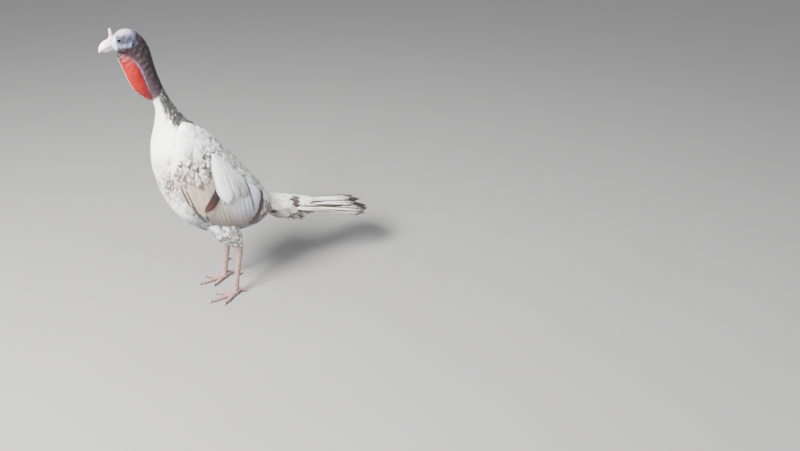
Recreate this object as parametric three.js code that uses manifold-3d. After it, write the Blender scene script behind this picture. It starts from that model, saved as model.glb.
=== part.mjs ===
// A life-size standing domestic turkey, a young tom with his neck stretched up, as closed solids.
// Units are millimetres, +Z is up and the bird faces -Y, so its left side is +X. It stands on the
// undersides of its toes at Z = 0, and the origin is at the middle of its footprint's bounding box.
//
// Trunk, neck and head are one surface, lofted between a dorsal and a ventral rail, and parted
// with thin cuts. Wings are plates laid on that surface, stepped where one feather lies on the
// next. Places are written [x, f, z], with f forwards, and turned into the frame by place().
import * as THREE from "three";
import { mergeVertices } from "three/addons/utils/BufferGeometryUtils.js";
import Module from "manifold-3d";

const wasm = await Module();
wasm.setup();

// ---------------------------------------------------------------- driving dimensions

const GAP = 0.35; // clear space between neighbouring solids
const BODY_COLUMNS = 22; // points round the trunk, neck and head
const BODY_ROWS = 38; // rings of points from the tail root to the bill

// Stations from the root of the tail to the base of the bill: where the top and the bottom of
// the section lie, as [f, z], and its half width.
const STATIONS = [
  { name: "tail root", top: [-200, 312], bottom: [-190, 268], half: 28 },
  { name: "rump", top: [-178, 350], bottom: [-160, 246], half: 56 },
  { name: "loin", top: [-144, 402], bottom: [-105, 228], half: 84 },
  { name: "belly", top: [-100, 462], bottom: [-40, 228], half: 102 },
  { name: "flank", top: [-52, 522], bottom: [30, 240], half: 113 },
  { name: "mid back", top: [-8, 576], bottom: [100, 286], half: 116 },
  { name: "keel", top: [32, 618], bottom: [150, 360], half: 112 },
  { name: "breast", top: [62, 651], bottom: [179, 450], half: 100 },
  { name: "crop", top: [84, 682], bottom: [182, 538], half: 80 },
  { name: "collar", top: [99, 711], bottom: [160, 618], half: 56 },
  { name: "neck base", top: [111, 741], bottom: [148, 680], half: 38 },
  { name: "lower neck", top: [122, 774], bottom: [158, 730], half: 29 },
  { name: "mid neck", top: [132, 811], bottom: [176, 778], half: 26 },
  { name: "upper neck", top: [137, 849], bottom: [192, 823], half: 26 },
  { name: "nape", top: [143, 886], bottom: [206, 857], half: 26 },
  { name: "ear", top: [158, 917], bottom: [218, 872], half: 27 },
  { name: "crown", top: [180, 936], bottom: [228, 879], half: 27 },
  { name: "eye", top: [206, 941], bottom: [237, 884], half: 23.5 },
  { name: "lore", top: [229, 932], bottom: [243, 888], half: 17 },
  { name: "bill base", top: [244, 919], bottom: [248, 892], half: 12 },
];
const LAST = STATIONS.length - 1;
const FULLNESS = 2.1; // superellipse exponent of the trunk's sections
const CUTS = { collar: 9.6, nape: 13.1, jaw: 14.1 }; // where the loft is parted, in stations

const EYE = { forward: 226, height: 914, radius: 6.4, out: 17.6 };
const BILL = { root: [238, 902], length: 44, width: 24, upper: 19, lower: 15, hook: 11 };
const SNOOD = { root: [240, 908], height: 40, radius: 5.4 };
const WATTLE = { proud: 26, sunk: 20, half: 25, rows: 12, columns: 10, lumps: 0.12 };

const WING = { thickness: 12, rim: 2.8, coverts: 0.47, primaries: 0.38 };
const SECONDARIES = 6; // feathers that show in the folded wing
const PRIMARIES = 4;
const FEATHER_STEP = 1.8; // how far one wing feather stands on the next
const STEP_SAMPLES = [0, 0.5, 0.95]; // places across a feather that carry points
const TAIL = { root: [-172, 292], slope: -12, length: 425, spread: 10, half: 34, thickness: 5.5 };
const RECTRICES = 12; // tail feathers that show in the closed tail

const FOOT = { forward: -14, apart: 66, hock: 182, toe: 7.4, stagger: 16 };
const TOES = {
  inner: { length: 60, splay: -34 },
  middle: { length: 86, splay: 1 },
  outer: { length: 66, splay: 36 },
};
const HALLUX = { length: 30, splay: 168, root: 24 };
const CLAW = 15;
const REACH = 1400; // size of the blocks that cut, larger than the bird

// ---------------------------------------------------------------- finishes

const finish = (color, roughness) => new THREE.MeshStandardMaterial({ color, roughness, metalness: 0 });
const PLUMAGE = finish(0xe9e4db, 0.85);
const MOTTLED = finish(0xb9aa9a, 0.85);
const NECK_DOWN = finish(0x6b6468, 0.8);
const BARE_SKIN = finish(0x8f7f86, 0.55);
const RED_SKIN = finish(0xc23a34, 0.5);
const HORN = finish(0xd9d2c4, 0.4);
const SHANK = finish(0x8c7468, 0.6);
const EYE_DARK = finish(0x1c120d, 0.1);

// ---------------------------------------------------------------- shapes

const { sin, cos, PI, abs, sign, min, max, sqrt } = Math;
const TURN = 2 * PI;
const rad = THREE.MathUtils.degToRad;
const lerp = THREE.MathUtils.lerp;
const place = (x, f, z) => new THREE.Vector3(x, -f, z);
const rail = (pick) => new THREE.SplineCurve(STATIONS.map((s) => new THREE.Vector2(...pick(s))));
const topRail = rail((s) => s.top);
const bottomRail = rail((s) => s.bottom);
const halfRail = rail((s) => [s.half, 0]);

// A point of the body's surface. At a given station, turn goes from the top (0) over the left
// side (a quarter) to the bottom (a half turn).
function bodyPoint(station, turn, proud = 0) {
  const t = station / LAST;
  const top = topRail.getPoint(t);
  const bottom = bottomRail.getPoint(t);
  const power = 2 / (station < CUTS.collar ? FULLNESS : 2);
  const up = sign(cos(turn)) * abs(cos(turn)) ** power;
  const out = sign(sin(turn)) * abs(sin(turn)) ** power;
  const mid = top.clone().add(bottom).multiplyScalar(0.5);
  const half = top.clone().sub(bottom).multiplyScalar(0.5);
  const reach = half.length();
  half.multiplyScalar(1 + proud / reach);
  const width = halfRail.getPoint(t).x + proud;
  return place(width * out, mid.x + half.x * up, mid.y + half.y * up);
}

// A closed surface from rows + 1 rings of points, with a fan over each end.
function loft(rows, columns, pointAt) {
  const points = [];
  const index = [];
  for (let r = 0; r <= rows; r++)
    for (let c = 0; c < columns; c++) points.push(pointAt(r / rows, (c / columns) * TURN));
  for (let r = 0; r < rows; r++)
    for (let c = 0; c < columns; c++) {
      const [a, b] = [r * columns + c, r * columns + ((c + 1) % columns)];
      index.push(a, b, b + columns, a, b + columns, a + columns);
    }
  for (const r of [0, rows]) {
    const ring = points.slice(r * columns, (r + 1) * columns);
    points.push(ring.reduce((sum, p) => sum.add(p), new THREE.Vector3()).divideScalar(columns));
    for (let c = 0; c < columns; c++) {
      const [a, b] = [r * columns + c, r * columns + ((c + 1) % columns)];
      index.push(...(r ? [a, b, points.length - 1] : [b, a, points.length - 1]));
    }
  }
  return shell(points, index);
}

// A closed plate from an outer and an inner surface over the same (u, v) square.
function plate(us, vs, outer, inner) {
  const points = [];
  const index = [];
  for (const face of [outer, inner]) for (const u of us) for (const v of vs) points.push(face(u, v));
  const wide = vs.length;
  const under = us.length * wide;
  const quad = (a, b, c, d) => index.push(a, b, c, a, c, d);
  for (let i = 0; i + 1 < us.length; i++)
    for (let j = 0; j + 1 < wide; j++) {
      const a = i * wide + j;
      quad(a, a + wide, a + wide + 1, a + 1);
      quad(under + a, under + a + 1, under + a + wide + 1, under + a + wide);
    }
  const rim = [];
  for (let j = 0; j < wide; j++) rim.push(j);
  for (let i = 1; i < us.length; i++) rim.push(i * wide + wide - 1);
  for (let j = wide - 2; j >= 0; j--) rim.push((us.length - 1) * wide + j);
  for (let i = us.length - 2; i > 0; i--) rim.push(i * wide);
  rim.forEach((a, k) => {
    const b = rim[(k + 1) % rim.length];
    quad(a, b, under + b, under + a);
  });
  return shell(points, index);
}

// An indexed geometry whose faces point outwards, whichever way its points were listed.
function shell(points, index) {
  let volume = 0;
  for (let i = 0; i < index.length; i += 3) {
    const [a, b, c] = [points[index[i]], points[index[i + 1]], points[index[i + 2]]];
    volume += a.dot(b.clone().cross(c));
  }
  if (volume < 0) index.reverse();
  return new THREE.BufferGeometry().setFromPoints(points).setIndex(index);
}

// A limb along a smooth line: widths lie across the given direction, depths square to it.
function limb({ line, widths, depths = widths, across = [1, 0, 0], rows = 6, columns = 8 }) {
  const path = new THREE.CatmullRomCurve3(line.map((p) => place(...p)));
  const size = (list, t) => new THREE.SplineCurve(list.map((v) => new THREE.Vector2(v, 0))).getPoint(t).x;
  const side = place(...across).normalize();
  return loft(rows, columns, (t, turn) => {
    const way = path.getTangent(t);
    const deep = way.clone().cross(side).normalize();
    return path
      .getPoint(t)
      .addScaledVector(side, size(widths, t) * cos(turn))
      .addScaledVector(deep, size(depths, t) * sin(turn));
  });
}

// ---------------------------------------------------------------- solids

// A built-in shape with one point at each corner, for joining and cutting.
function bare(geometry) {
  return mergeVertices(geometry.deleteAttribute("normal").deleteAttribute("uv"), 1e-3);
}

function solidOf(geometry) {
  const merged = mergeVertices(geometry, 1e-3);
  const mesh = { numProp: 3, vertProperties: merged.attributes.position.array };
  return new wasm.Manifold(new wasm.Mesh({ ...mesh, triVerts: new Uint32Array(merged.index.array) }));
}

function geometryOf(solid) {
  const mesh = solid.getMesh();
  return new THREE.BufferGeometry()
    .setAttribute("position", new THREE.BufferAttribute(mesh.vertProperties, 3))
    .setIndex(new THREE.BufferAttribute(mesh.triVerts, 1));
}

// The same shape, grown by the gap along its normals: what a neighbour is cut back by.
function grown(geometry) {
  const bigger = mergeVertices(geometry, 1e-3);
  bigger.computeVertexNormals();
  const { position, normal } = bigger.attributes;
  const [point, way] = [new THREE.Vector3(), new THREE.Vector3()];
  for (let i = 0; i < position.count; i++) {
    way.fromBufferAttribute(normal, i);
    point.fromBufferAttribute(position, i).addScaledVector(way, GAP);
    position.setXYZ(i, ...point);
  }
  return solidOf(bigger);
}

const cutBy = (solid, ...shapes) =>
  shapes.reduce((left, shape) => left.subtract(grown(shape)).subtract(solidOf(shape)), solid);
const largest = (solid) => solid.decompose().sort((a, b) => b.volume() - a.volume())[0];

// Everything on the head's side (way 1) or the tail's side (way -1) of a station.
function sideOf(station, way) {
  const top = bodyPoint(station, 0);
  const bottom = bodyPoint(station, PI);
  const box = bare(new THREE.BoxGeometry(REACH, REACH, REACH));
  const along = new THREE.Vector3().subVectors(top, bottom).normalize();
  const normal = new THREE.Vector3(1, 0, 0).cross(along).multiplyScalar(way);
  const turned = new THREE.Matrix4().makeBasis(along.clone().cross(normal), along, normal);
  const middle = top.clone().add(bottom).multiplyScalar(0.5);
  turned.setPosition(middle.addScaledVector(normal, REACH / 2 + GAP / 2));
  return solidOf(box.applyMatrix4(turned));
}

// ---------------------------------------------------------------- body, neck and head

const bodyShape = loft(BODY_ROWS, BODY_COLUMNS, (t, turn) => bodyPoint(t * LAST, turn));

// The fleshy fold down the front of the neck: a keel under the chin, a lumpy bib lower down.
function wattleShape() {
  const { rows, columns, proud, sunk, half, lumps } = WATTLE;
  const bib = (t) => lerp(0.36, 1, THREE.MathUtils.smoothstep(t, 0.1, 0.65));
  return loft(rows, columns, (t, turn) => {
    const station = lerp(15.9, 11.1, t);
    const root = bodyPoint(station, PI);
    const back = new THREE.Vector3().subVectors(bodyPoint(station, 0), root).normalize();
    const close = sin(PI * (0.05 + 0.91 * t)) ** 0.4;
    const full = close * (1 + lumps * bib(t) * sin(3 * turn + 20 * t) * sin(26 * t));
    const depth = cos(turn) < 0 ? proud * full : sunk * bib(t) * close;
    root.addScaledVector(back, depth * cos(turn));
    return root.add(new THREE.Vector3(half * bib(t) * full * sin(turn), 0, 0));
  });
}

// One half of the bill: a blunt, arched half cone that ends in a hooked nail.
function billShape(upper) {
  const [start, level] = BILL.root;
  const length = BILL.length - (upper ? 0 : 9);
  return loft(6, 10, (t, turn) => {
    const taper = sqrt(max(0.03, 1 - t ** 2.6));
    const drop = (upper ? BILL.hook : BILL.hook * 0.42) * t ** 2.4 + 4 * t;
    const high = upper ? BILL.upper * taper : -0.4;
    const low = upper ? 1.5 + 4 * t * t : BILL.lower * taper;
    const tall = cos(turn) > 0 ? high : low;
    const wide = (BILL.width / 2) * taper * (upper ? 1 : 0.86);
    const side = cos(turn) > 0 || upper ? 1 : abs(sin(turn)) ** 0.15;
    return place(wide * sin(turn) * side, start + length * t, level - drop + tall * cos(turn));
  });
}

const snoodShape = limb({
  line: [[0, ...SNOOD.root], [0, 241, 922], [0, 242, 936], [0, 241, SNOOD.root[1] + SNOOD.height]],
  widths: [SNOOD.radius + 1, SNOOD.radius, SNOOD.radius * 0.85, 1.6],
  rows: 5,
});

function eyeShape(side) {
  const centre = place(side * EYE.out, EYE.forward, EYE.height);
  return bare(new THREE.SphereGeometry(EYE.radius, 9, 6)).translate(...centre);
}

// ---------------------------------------------------------------- wings

// The wing's outline on the body, as [station, height] where height is 1 on the back and -1 on
// the belly. u runs from the wrist to the tips and v from the lower edge to the upper one.
const edge = (...points) => new THREE.SplineCurve(points.map((p) => new THREE.Vector2(...p)));
const lowerEdge = edge([7.8, -0.22], [6.9, -0.42], [5.4, -0.52], [3.8, -0.56], [2.1, -0.6]);
const upperEdge = edge([8.2, 0.2], [7.5, 0.7], [5.6, 0.9], [3.7, 0.93], [1.7, 0.86]);
const WRIST = 0.12; // how far the fold of the wing starts before its fullest part

function wingPoint(side, u, v, proud) {
  const low = lowerEdge.getPoint(THREE.MathUtils.clamp(u, 0, 1));
  const high = upperEdge.getPoint(THREE.MathUtils.clamp(u, 0, 1));
  const station = lerp(low.x, high.x, v) - (u - THREE.MathUtils.clamp(u, 0, 1)) * 7;
  return bodyPoint(station, side * Math.acos(lerp(low.y, high.y, v)), proud);
}

// How far the wing's outer face stands on the body: fullest over the arm, thin at its rims.
function wingRise(u, v) {
  const across = sin(PI * (0.1 + 0.82 * v)) ** 0.6;
  const along = u < 0.5 ? sin(PI * min(0.5, WRIST + u)) ** 0.7 : 1;
  return WING.rim + WING.thickness * across * along;
}

// Samples across a row of feathers: each one's edge and middle, and one just short of the next.
const stepped = (count, from, to) =>
  Array.from({ length: count * 3 + 1 }, (_, k) => {
    const within = STEP_SAMPLES[k % 3];
    return lerp(from, to, (Math.floor(k / 3) + within) / count);
  });
function evenly(count, from, to) {
  return Array.from({ length: count + 1 }, (_, k) => lerp(from, to, k / count));
}

// A row of wing feathers: each one's lower edge lies on the next, and the tips are rounded.
function featherRow({ side, count, from, to, start, end }) {
  const within = (v) => (((v - from) / (to - from)) * count + 1e-6) % 1;
  const along = (u, v) => lerp(start, end(v) - 0.035 * (2 * within(v) - 1) ** 2, u);
  const rise = (u, v) => wingRise(along(u, v), v) + FEATHER_STEP * (1 - within(v));
  const inner = (u, v) => lerp(-2, rise(u, v) - 3.2, max(0, u * 1.6 - 0.6));
  return plate(
    evenly(3, 0, 1),
    stepped(count, from, to),
    (u, v) => wingPoint(side, along(u, v), v, rise(u, v)),
    (u, v) => wingPoint(side, along(u, v), v, inner(u, v)),
  );
}

function wingShapes(side) {
  const coverts = plate(
    evenly(6, 0, WING.coverts),
    evenly(8, 0, 1),
    (u, v) => wingPoint(side, u, v, wingRise(u, v) + 1.2),
    (u, v) => wingPoint(side, u, v, -2),
  );
  const [start, split] = [WING.coverts + 0.003, WING.primaries];
  const upper = { side, count: SECONDARIES, from: split + 0.012, to: 1, start };
  const lower = { side, count: PRIMARIES, from: 0, to: split, start };
  return {
    coverts,
    secondaries: featherRow({ ...upper, end: (v) => lerp(1.02, 0.97, (v - split) / (1 - split)) }),
    primaries: featherRow({ ...lower, end: (v) => lerp(1.03, 1.05, v / split) }),
  };
}

// ---------------------------------------------------------------- tail

// A closed tail, arched across, whose middle feathers lie on top and reach furthest.
function tailPoint(across, along, face) {
  const angle = rad(TAIL.spread) * across;
  const reach = TAIL.length * along * (1 - 0.05 * across * across);
  const side = TAIL.half * across + reach * sin(angle);
  const arch = -20 * across * across * (0.35 + 0.65 * along) - 10 * along * along;
  const back = reach * cos(angle);
  const slope = rad(TAIL.slope);
  return place(side, TAIL.root[0] - back * cos(slope), TAIL.root[1] + back * sin(slope) + arch + face);
}

function tailShape() {
  const within = (v) => (abs(v) * (RECTRICES / 2) + 1e-6) % 1;
  const along = (u, v) => u * (1 - 0.022 * (2 * within(v) - 1) ** 2);
  const rise = (u, v) => (TAIL.thickness / 2 - 1.6 * within(v)) * lerp(1.6, 1, u);
  return plate(
    [0, 0.5, 1],
    stepped(RECTRICES, -1, 1),
    (u, v) => tailPoint(v, along(u, v), rise(u, v)),
    (u, v) => tailPoint(v, along(u, v), (-TAIL.thickness / 2) * lerp(2.2, 0.7, u)),
  );
}

// The smooth slab of space round the roots of the tail feathers.
const tailRoom = plate(
  evenly(3, -0.01, 0.55),
  evenly(12, -1.05, 1.05),
  (u, v) => tailPoint(v, u, TAIL.thickness * 0.8 + GAP * 2),
  (u, v) => tailPoint(v, u, -TAIL.thickness * 1.1 - GAP * 2),
);

// The small feathers that cover the roots of the tail, above and below.
const tailCovertsShape = ({ long, wide, high, lift }) =>
  loft(6, 12, (t, turn) => {
    const close = sqrt(max(0.01, 1 - t ** 3.2));
    const half = lerp(wide[0], wide[1], sin((PI / 2) * t)) * close;
    const tall = (lerp(high[0], high[2], t) + high[1] * sin(PI * t)) * close;
    const root = tailPoint(0, (long * t) / TAIL.length, lerp(lift[0], lift[1], t));
    const arch = -0.006 * (half * sin(turn)) ** 2;
    return root.add(new THREE.Vector3(half * sin(turn), 0, arch + tall * cos(turn)));
  });

// ---------------------------------------------------------------- legs

function legShapes(side) {
  const forward = FOOT.forward + (side > 0 ? FOOT.stagger / 2 : -FOOT.stagger / 2);
  const x = side * FOOT.apart;
  const hock = [x, forward - 34, FOOT.hock];
  const thigh = limb({
    line: [[x * 0.66, forward + 26, 335], [x * 0.96, forward + 12, 272], [x, forward - 18, 218], hock],
    widths: [30, 35, 23, 11.5],
    depths: [52, 50, 29, 13],
    rows: 8,
    columns: 12,
  });
  const shank = limb({
    line: [
      [x, forward - 33, FOOT.hock - 4],
      [x, forward - 30, 150],
      [x, forward - 14, 80],
      [x, forward - 2, 24],
      [x, forward + 4, 8],
    ],
    widths: [10.5, 8.2, 7.4, 8.4, 9],
    depths: [12.5, 9.8, 8.8, 10, 9],
    rows: 6,
    columns: 8,
  });
  const toes = Object.entries(TOES).map(([name, toe]) => {
    const way = rad(toe.splay) * side;
    const at = (reach, z) => [x + reach * sin(way), forward + 2 + reach * cos(way), z];
    const across = [cos(way), -sin(way), 0];
    const l = toe.length;
    const r = FOOT.toe;
    return {
      name,
      flesh: limb({
        line: [at(-4, 8), at(0.2 * l, r), at(0.45 * l, r - 1.4), at(0.72 * l, r - 1.8), at(l, r - 2.4)],
        widths: [r, r * 1.06, r * 0.92, r * 0.88, r * 0.62],
        across,
        rows: 5,
        columns: 6,
      }),
      claw: limb({
        line: [at(l - 1.5, r - 1.4), at(l + 0.5 * CLAW, r - 0.6), at(l + CLAW, 1.4)],
        widths: [3.4, 2.4, 0.5],
        across,
        rows: 3,
        columns: 5,
      }),
    };
  });
  const way = rad(HALLUX.splay) * side;
  const back = (reach, z) => [x + reach * sin(way) * 0.9, forward - 6 + reach * cos(way), z];
  const across = [cos(way), -sin(way), 0];
  const l = HALLUX.length;
  const hallux = {
    name: "hind",
    flesh: limb({
      line: [back(-6, HALLUX.root), back(0.4 * l, HALLUX.root - 7), back(l, 6)],
      widths: [5.4, 5, 4],
      across,
      rows: 3,
      columns: 6,
    }),
    claw: limb({
      line: [back(l - 1.2, 6.4), back(l + 5, 4.6), back(l + CLAW * 0.8, 1.6)],
      widths: [3.1, 2.2, 0.5],
      across,
      rows: 3,
      columns: 5,
    }),
  };
  const spurAt = (inward, back, z) => [x - side * inward, forward - back, z];
  const spur = limb({
    line: [spurAt(3, 22, 72), spurAt(4, 36, 73), spurAt(4, 41, 75)],
    widths: [5, 3.4, 0.8],
    rows: 3,
    columns: 6,
  });
  return { thigh, shank, toes: [...toes, hallux], spur };
}

// ---------------------------------------------------------------- assembly

const group = new THREE.Group();

function add(name, solid, material) {
  const mesh = new THREE.Mesh(geometryOf(largest(solid)), material.clone());
  mesh.name = name;
  group.add(mesh);
}

const body = solidOf(bodyShape);
const floorCut = solidOf(bare(new THREE.BoxGeometry(REACH, REACH, REACH)).translate(0, 0, -REACH / 2));

const SIDES = [["left", 1], ["right", -1]];
const wings = SIDES.map(([, side]) => wingShapes(side));
const legs = SIDES.map(([, side]) => legShapes(side));
const eyes = SIDES.map(([, side]) => eyeShape(side));
const [upperBill, lowerBill] = [billShape(true), billShape(false)];
const tail = tailShape();
const tailTop = tailCovertsShape({ long: 205, wide: [44, 50], high: [34, 2, 8], lift: [0, 4] });
const tailUnder = tailCovertsShape({ long: 205, wide: [38, 42], high: [20, 22, 10], lift: [-14, -22] });

// Everything that grows from the trunk, neck or head is trimmed to sit just clear of them.
const bodyRoom = grown(bodyShape);
const trimmed = (shape) => solidOf(shape).subtract(bodyRoom);
const between = (from, to) => body.intersect(sideOf(from, 1)).intersect(sideOf(to, -1));

add("head", cutBy(body.intersect(sideOf(CUTS.jaw, 1)), ...eyes), BARE_SKIN);
add("neck_upper", between(CUTS.nape, CUTS.jaw), BARE_SKIN);
add("neck_lower", between(CUTS.collar, CUTS.nape), NECK_DOWN);
add("trunk", body.intersect(sideOf(CUTS.collar, -1)), PLUMAGE);
add("throat_wattle", cutBy(trimmed(wattleShape()), lowerBill), RED_SKIN);
add("snood", cutBy(trimmed(snoodShape), upperBill), BARE_SKIN);
add("bill_upper", trimmed(upperBill), HORN);
add("bill_lower", cutBy(trimmed(lowerBill), upperBill), HORN);
add("tail_feathers", trimmed(tail), PLUMAGE);
add("tail_coverts_upper", trimmed(tailTop).subtract(solidOf(tailRoom)), MOTTLED);
add("tail_coverts_under", cutBy(trimmed(tailUnder).subtract(solidOf(tailRoom)), tailTop), PLUMAGE);

SIDES.forEach(([name], k) => {
  const { coverts, secondaries, primaries } = wings[k];
  const { thigh, shank, toes, spur } = legs[k];
  add(`eye_${name}`, solidOf(eyes[k]), EYE_DARK);
  add(`wing_${name}_coverts`, trimmed(coverts), MOTTLED);
  add(`wing_${name}_secondaries`, trimmed(secondaries), PLUMAGE);
  add(`wing_${name}_primaries`, trimmed(primaries), PLUMAGE);
  add(`thigh_${name}`, cutBy(trimmed(thigh), coverts, secondaries, primaries), PLUMAGE);
  const foot = toes.reduce((sum, toe) => sum.add(solidOf(toe.flesh)), solidOf(shank));
  add(`leg_${name}`, cutBy(foot.subtract(floorCut), thigh), SHANK);
  toes.forEach((toe) => add(`claw_${name}_${toe.name}`, cutBy(solidOf(toe.claw), toe.flesh), HORN));
  add(`spur_${name}`, cutBy(solidOf(spur), shank), HORN);
});

const box = new THREE.Box3().setFromObject(group);
const middle = box.getCenter(new THREE.Vector3());
group.position.set(-middle.x, -middle.y, 0);

export default group;
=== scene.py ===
"""A life-size domestic turkey with skin, eyes, bill, scaled legs and a coat of solid feather vanes.

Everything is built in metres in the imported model's frame: +Z is up, the bird faces -Y and its
left side is +X. The body, the wings and the tail are smooth parametric surfaces. The skin is laid
a little inside them, and every feather is a thin closed vane that follows the same surface.
"""

import logging
import math
from dataclasses import dataclass, field
from enum import Enum
from typing import Any, Callable, Sequence

import bpy
import numpy as np
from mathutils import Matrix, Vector


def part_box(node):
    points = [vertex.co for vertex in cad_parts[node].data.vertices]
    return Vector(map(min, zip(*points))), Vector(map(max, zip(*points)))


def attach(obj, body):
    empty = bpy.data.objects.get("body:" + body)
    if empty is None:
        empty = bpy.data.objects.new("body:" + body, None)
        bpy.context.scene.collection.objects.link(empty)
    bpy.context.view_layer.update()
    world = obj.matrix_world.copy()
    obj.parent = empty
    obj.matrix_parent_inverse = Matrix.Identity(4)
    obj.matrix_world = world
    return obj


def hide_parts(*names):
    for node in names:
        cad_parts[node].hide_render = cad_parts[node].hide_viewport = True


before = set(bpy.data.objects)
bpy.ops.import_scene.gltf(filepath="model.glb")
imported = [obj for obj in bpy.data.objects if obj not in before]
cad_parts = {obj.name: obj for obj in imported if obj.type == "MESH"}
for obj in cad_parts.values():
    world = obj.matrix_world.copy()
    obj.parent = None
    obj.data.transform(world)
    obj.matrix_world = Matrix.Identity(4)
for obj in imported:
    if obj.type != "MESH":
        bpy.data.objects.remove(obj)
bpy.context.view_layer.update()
LOG = logging.getLogger("turkey")
MM = 0.001
TURN = 2 * math.pi
SIDES = {"left": 1, "right": -1}
Array = np.ndarray
Number = Array | float
Place = Callable[[Array, Array], Array]
Material = bpy.types.Material
Socket = bpy.types.NodeSocket
Value = Socket | float | tuple | None


# ---- numbers and curves


def linear(colour: int) -> Array:
    """The linear channels of a screen colour 0xRRGGBB: c / 12.92 or ((c + 0.055) / 1.055) ** 2.4."""
    c = np.array([(colour >> shift) & 255 for shift in (16, 8, 0)]) / 255
    return np.where(c <= 0.04045, c / 12.92, ((c + 0.055) / 1.055) ** 2.4)


def smoothstep(x: Number, low: float, high: float) -> Array:
    """Eases from 0 at low to 1 at high: 3 t^2 - 2 t^3 of the clamped fraction."""
    t = np.clip((x - low) / (high - low), 0, 1)
    return t * t * (3 - 2 * t)


def lerp(a: Number, b: Number, t: Number) -> Number:
    """Blends a into b: a + (b - a) t."""
    return a + (b - a) * t


def bump(x: Array, middle: float, width: float) -> Array:
    """A smooth hill of height 1: exp(-((x - middle) / width)^2)."""
    return np.exp(-(((x - middle) / width) ** 2))


def layered(tint: Array, stain: Array, *layers: tuple) -> tuple[Array, Array]:
    """Lays colours over a tint and a stain, one after another.

    Args:
        tint: the first colour.
        stain: the second.
        layers: rows of (share, colour over the tint, colour over the stain), each colour as
            0xRRGGBB, as linear channels, or None to leave that one as it is.

    Returns:
        Both colours.
    """
    both = [tint, stain]
    for share, *colours in layers:
        for k, colour in enumerate(colours):
            if colour is not None:
                colour = linear(colour) if isinstance(colour, int) else colour
                both[k] = lerp(both[k], colour, np.clip(share, 0, 1)[..., None])
    return both[0], both[1]


def curve(knots: Array, at: Array) -> Array:
    """Reads a uniform Catmull-Rom curve.

    Args:
        knots: one row a knot.
        at: places in knots, from 0 to len(knots) - 1; beyond them the curve runs straight on.

    Returns:
        The values there: (2p1 - 2p2 + v1 + v2) w^3 + (3p2 - 3p1 - 2v1 - v2) w^2 + v1 w + p1, where
        each slope v is half the difference of the knot's neighbours.
    """
    knots = np.asarray(knots, float)
    last = len(knots) - 1
    held = np.clip(at, 0, last)
    i = np.minimum(held.astype(int), last - 1)
    w = (held - i)[..., None]
    p1, p2 = knots[i], knots[i + 1]
    v1 = (p2 - knots[np.maximum(i - 1, 0)]) / 2
    v2 = (knots[np.minimum(i + 2, last)] - p1) / 2
    on = (2 * p1 - 2 * p2 + v1 + v2) * w**3 + (3 * p2 - 3 * p1 - 2 * v1 - v2) * w**2 + v1 * w + p1
    return on + (at - held)[..., None] * np.where(at[..., None] < 0, v1, v2)


def ripple(p: Array, size: float, seed: int) -> Array:
    """Soft noise from about -1 to 1.

    Args:
        p: points.
        size: metres from one wave to the next.
        seed: for the waves' directions.

    Returns:
        Twice the mean of seven sine waves in random directions.
    """
    rng = np.random.default_rng(seed)
    ways = rng.normal(size=(7, 3))
    ways /= np.linalg.norm(ways, axis=1, keepdims=True)
    pace = rng.uniform(0.7, 1.6, 7)
    return np.sin(p @ (ways * pace[:, None]).T * (TURN / size) + rng.uniform(0, TURN, 7)).mean(-1) * 2


def pebbles(u: Array, v: Array, seed: int, wrap: int) -> Array:
    """Rounded lumps, one in each unit cell.

    Args:
        u: first coordinate, in cells.
        v: second coordinate, in cells.
        seed: for the lumps' places.
        wrap: cells after which v starts again.

    Returns:
        1 minus twice the squared distance to the nearest jittered cell point: 1 on a lump, 0 in a
        furrow.
    """
    nearest = np.full(np.shape(u), 9.0)
    for du, dv in np.ndindex(3, 3):
        cu, cv = np.floor(u) + du - 1, np.floor(v) + dv - 1
        key = cu * 127.1 + np.mod(cv, wrap) * 311.7 + seed
        jitter, other = np.sin(key) * 43758.5453, np.sin(key * 1.7 + 5) * 43758.5453
        pu = cu + 0.5 + 0.7 * (jitter - np.floor(jitter) - 0.5)
        pv = cv + 0.5 + 0.7 * (other - np.floor(other) - 0.5)
        nearest = np.minimum(nearest, (u - pu) ** 2 + (v - pv) ** 2)
    return np.clip(1 - nearest / 0.5, 0, 1)


def turns(rows: Array, columns: int) -> tuple[Array, Array]:
    """A grid of the rows' values against evenly spaced turns from 0 to a whole one."""
    return np.meshgrid(rows, np.linspace(0, TURN, columns, endpoint=False), indexing="ij")


def rounded(count: int, power: float = 0.5) -> Array:
    """Places from 0 to 1 set closer together at the far end: 1 - (1 - s)^(1 / power)."""
    return 1 - (1 - np.linspace(0, 1, count)) ** (1 / power)


# ---- surfaces to lay feathers on


class Surface:
    """A smooth surface read at (along, across, height): feathers lie towards larger along."""

    def point(self, a: Array, b: Array, h: Number = 0.0) -> Array:
        """The place at along a and across b, standing h metres proud of the surface."""
        raise NotImplementedError

    def scales(self, a: Array, b: Array) -> tuple[Array, Array]:
        """Metres to one unit of along and of across, by central differences.

        Args:
            a: along.
            b: across.

        Returns:
            Both scales, never less than a tenth of a millimetre.
        """
        e = 1e-3
        down = np.linalg.norm(self.point(a + e, b) - self.point(a - e, b), axis=-1) / (2 * e)
        over = np.linalg.norm(self.point(a, b + e) - self.point(a, b - e), axis=-1) / (2 * e)
        return np.maximum(down, 1e-4), np.maximum(over, 1e-4)


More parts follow.
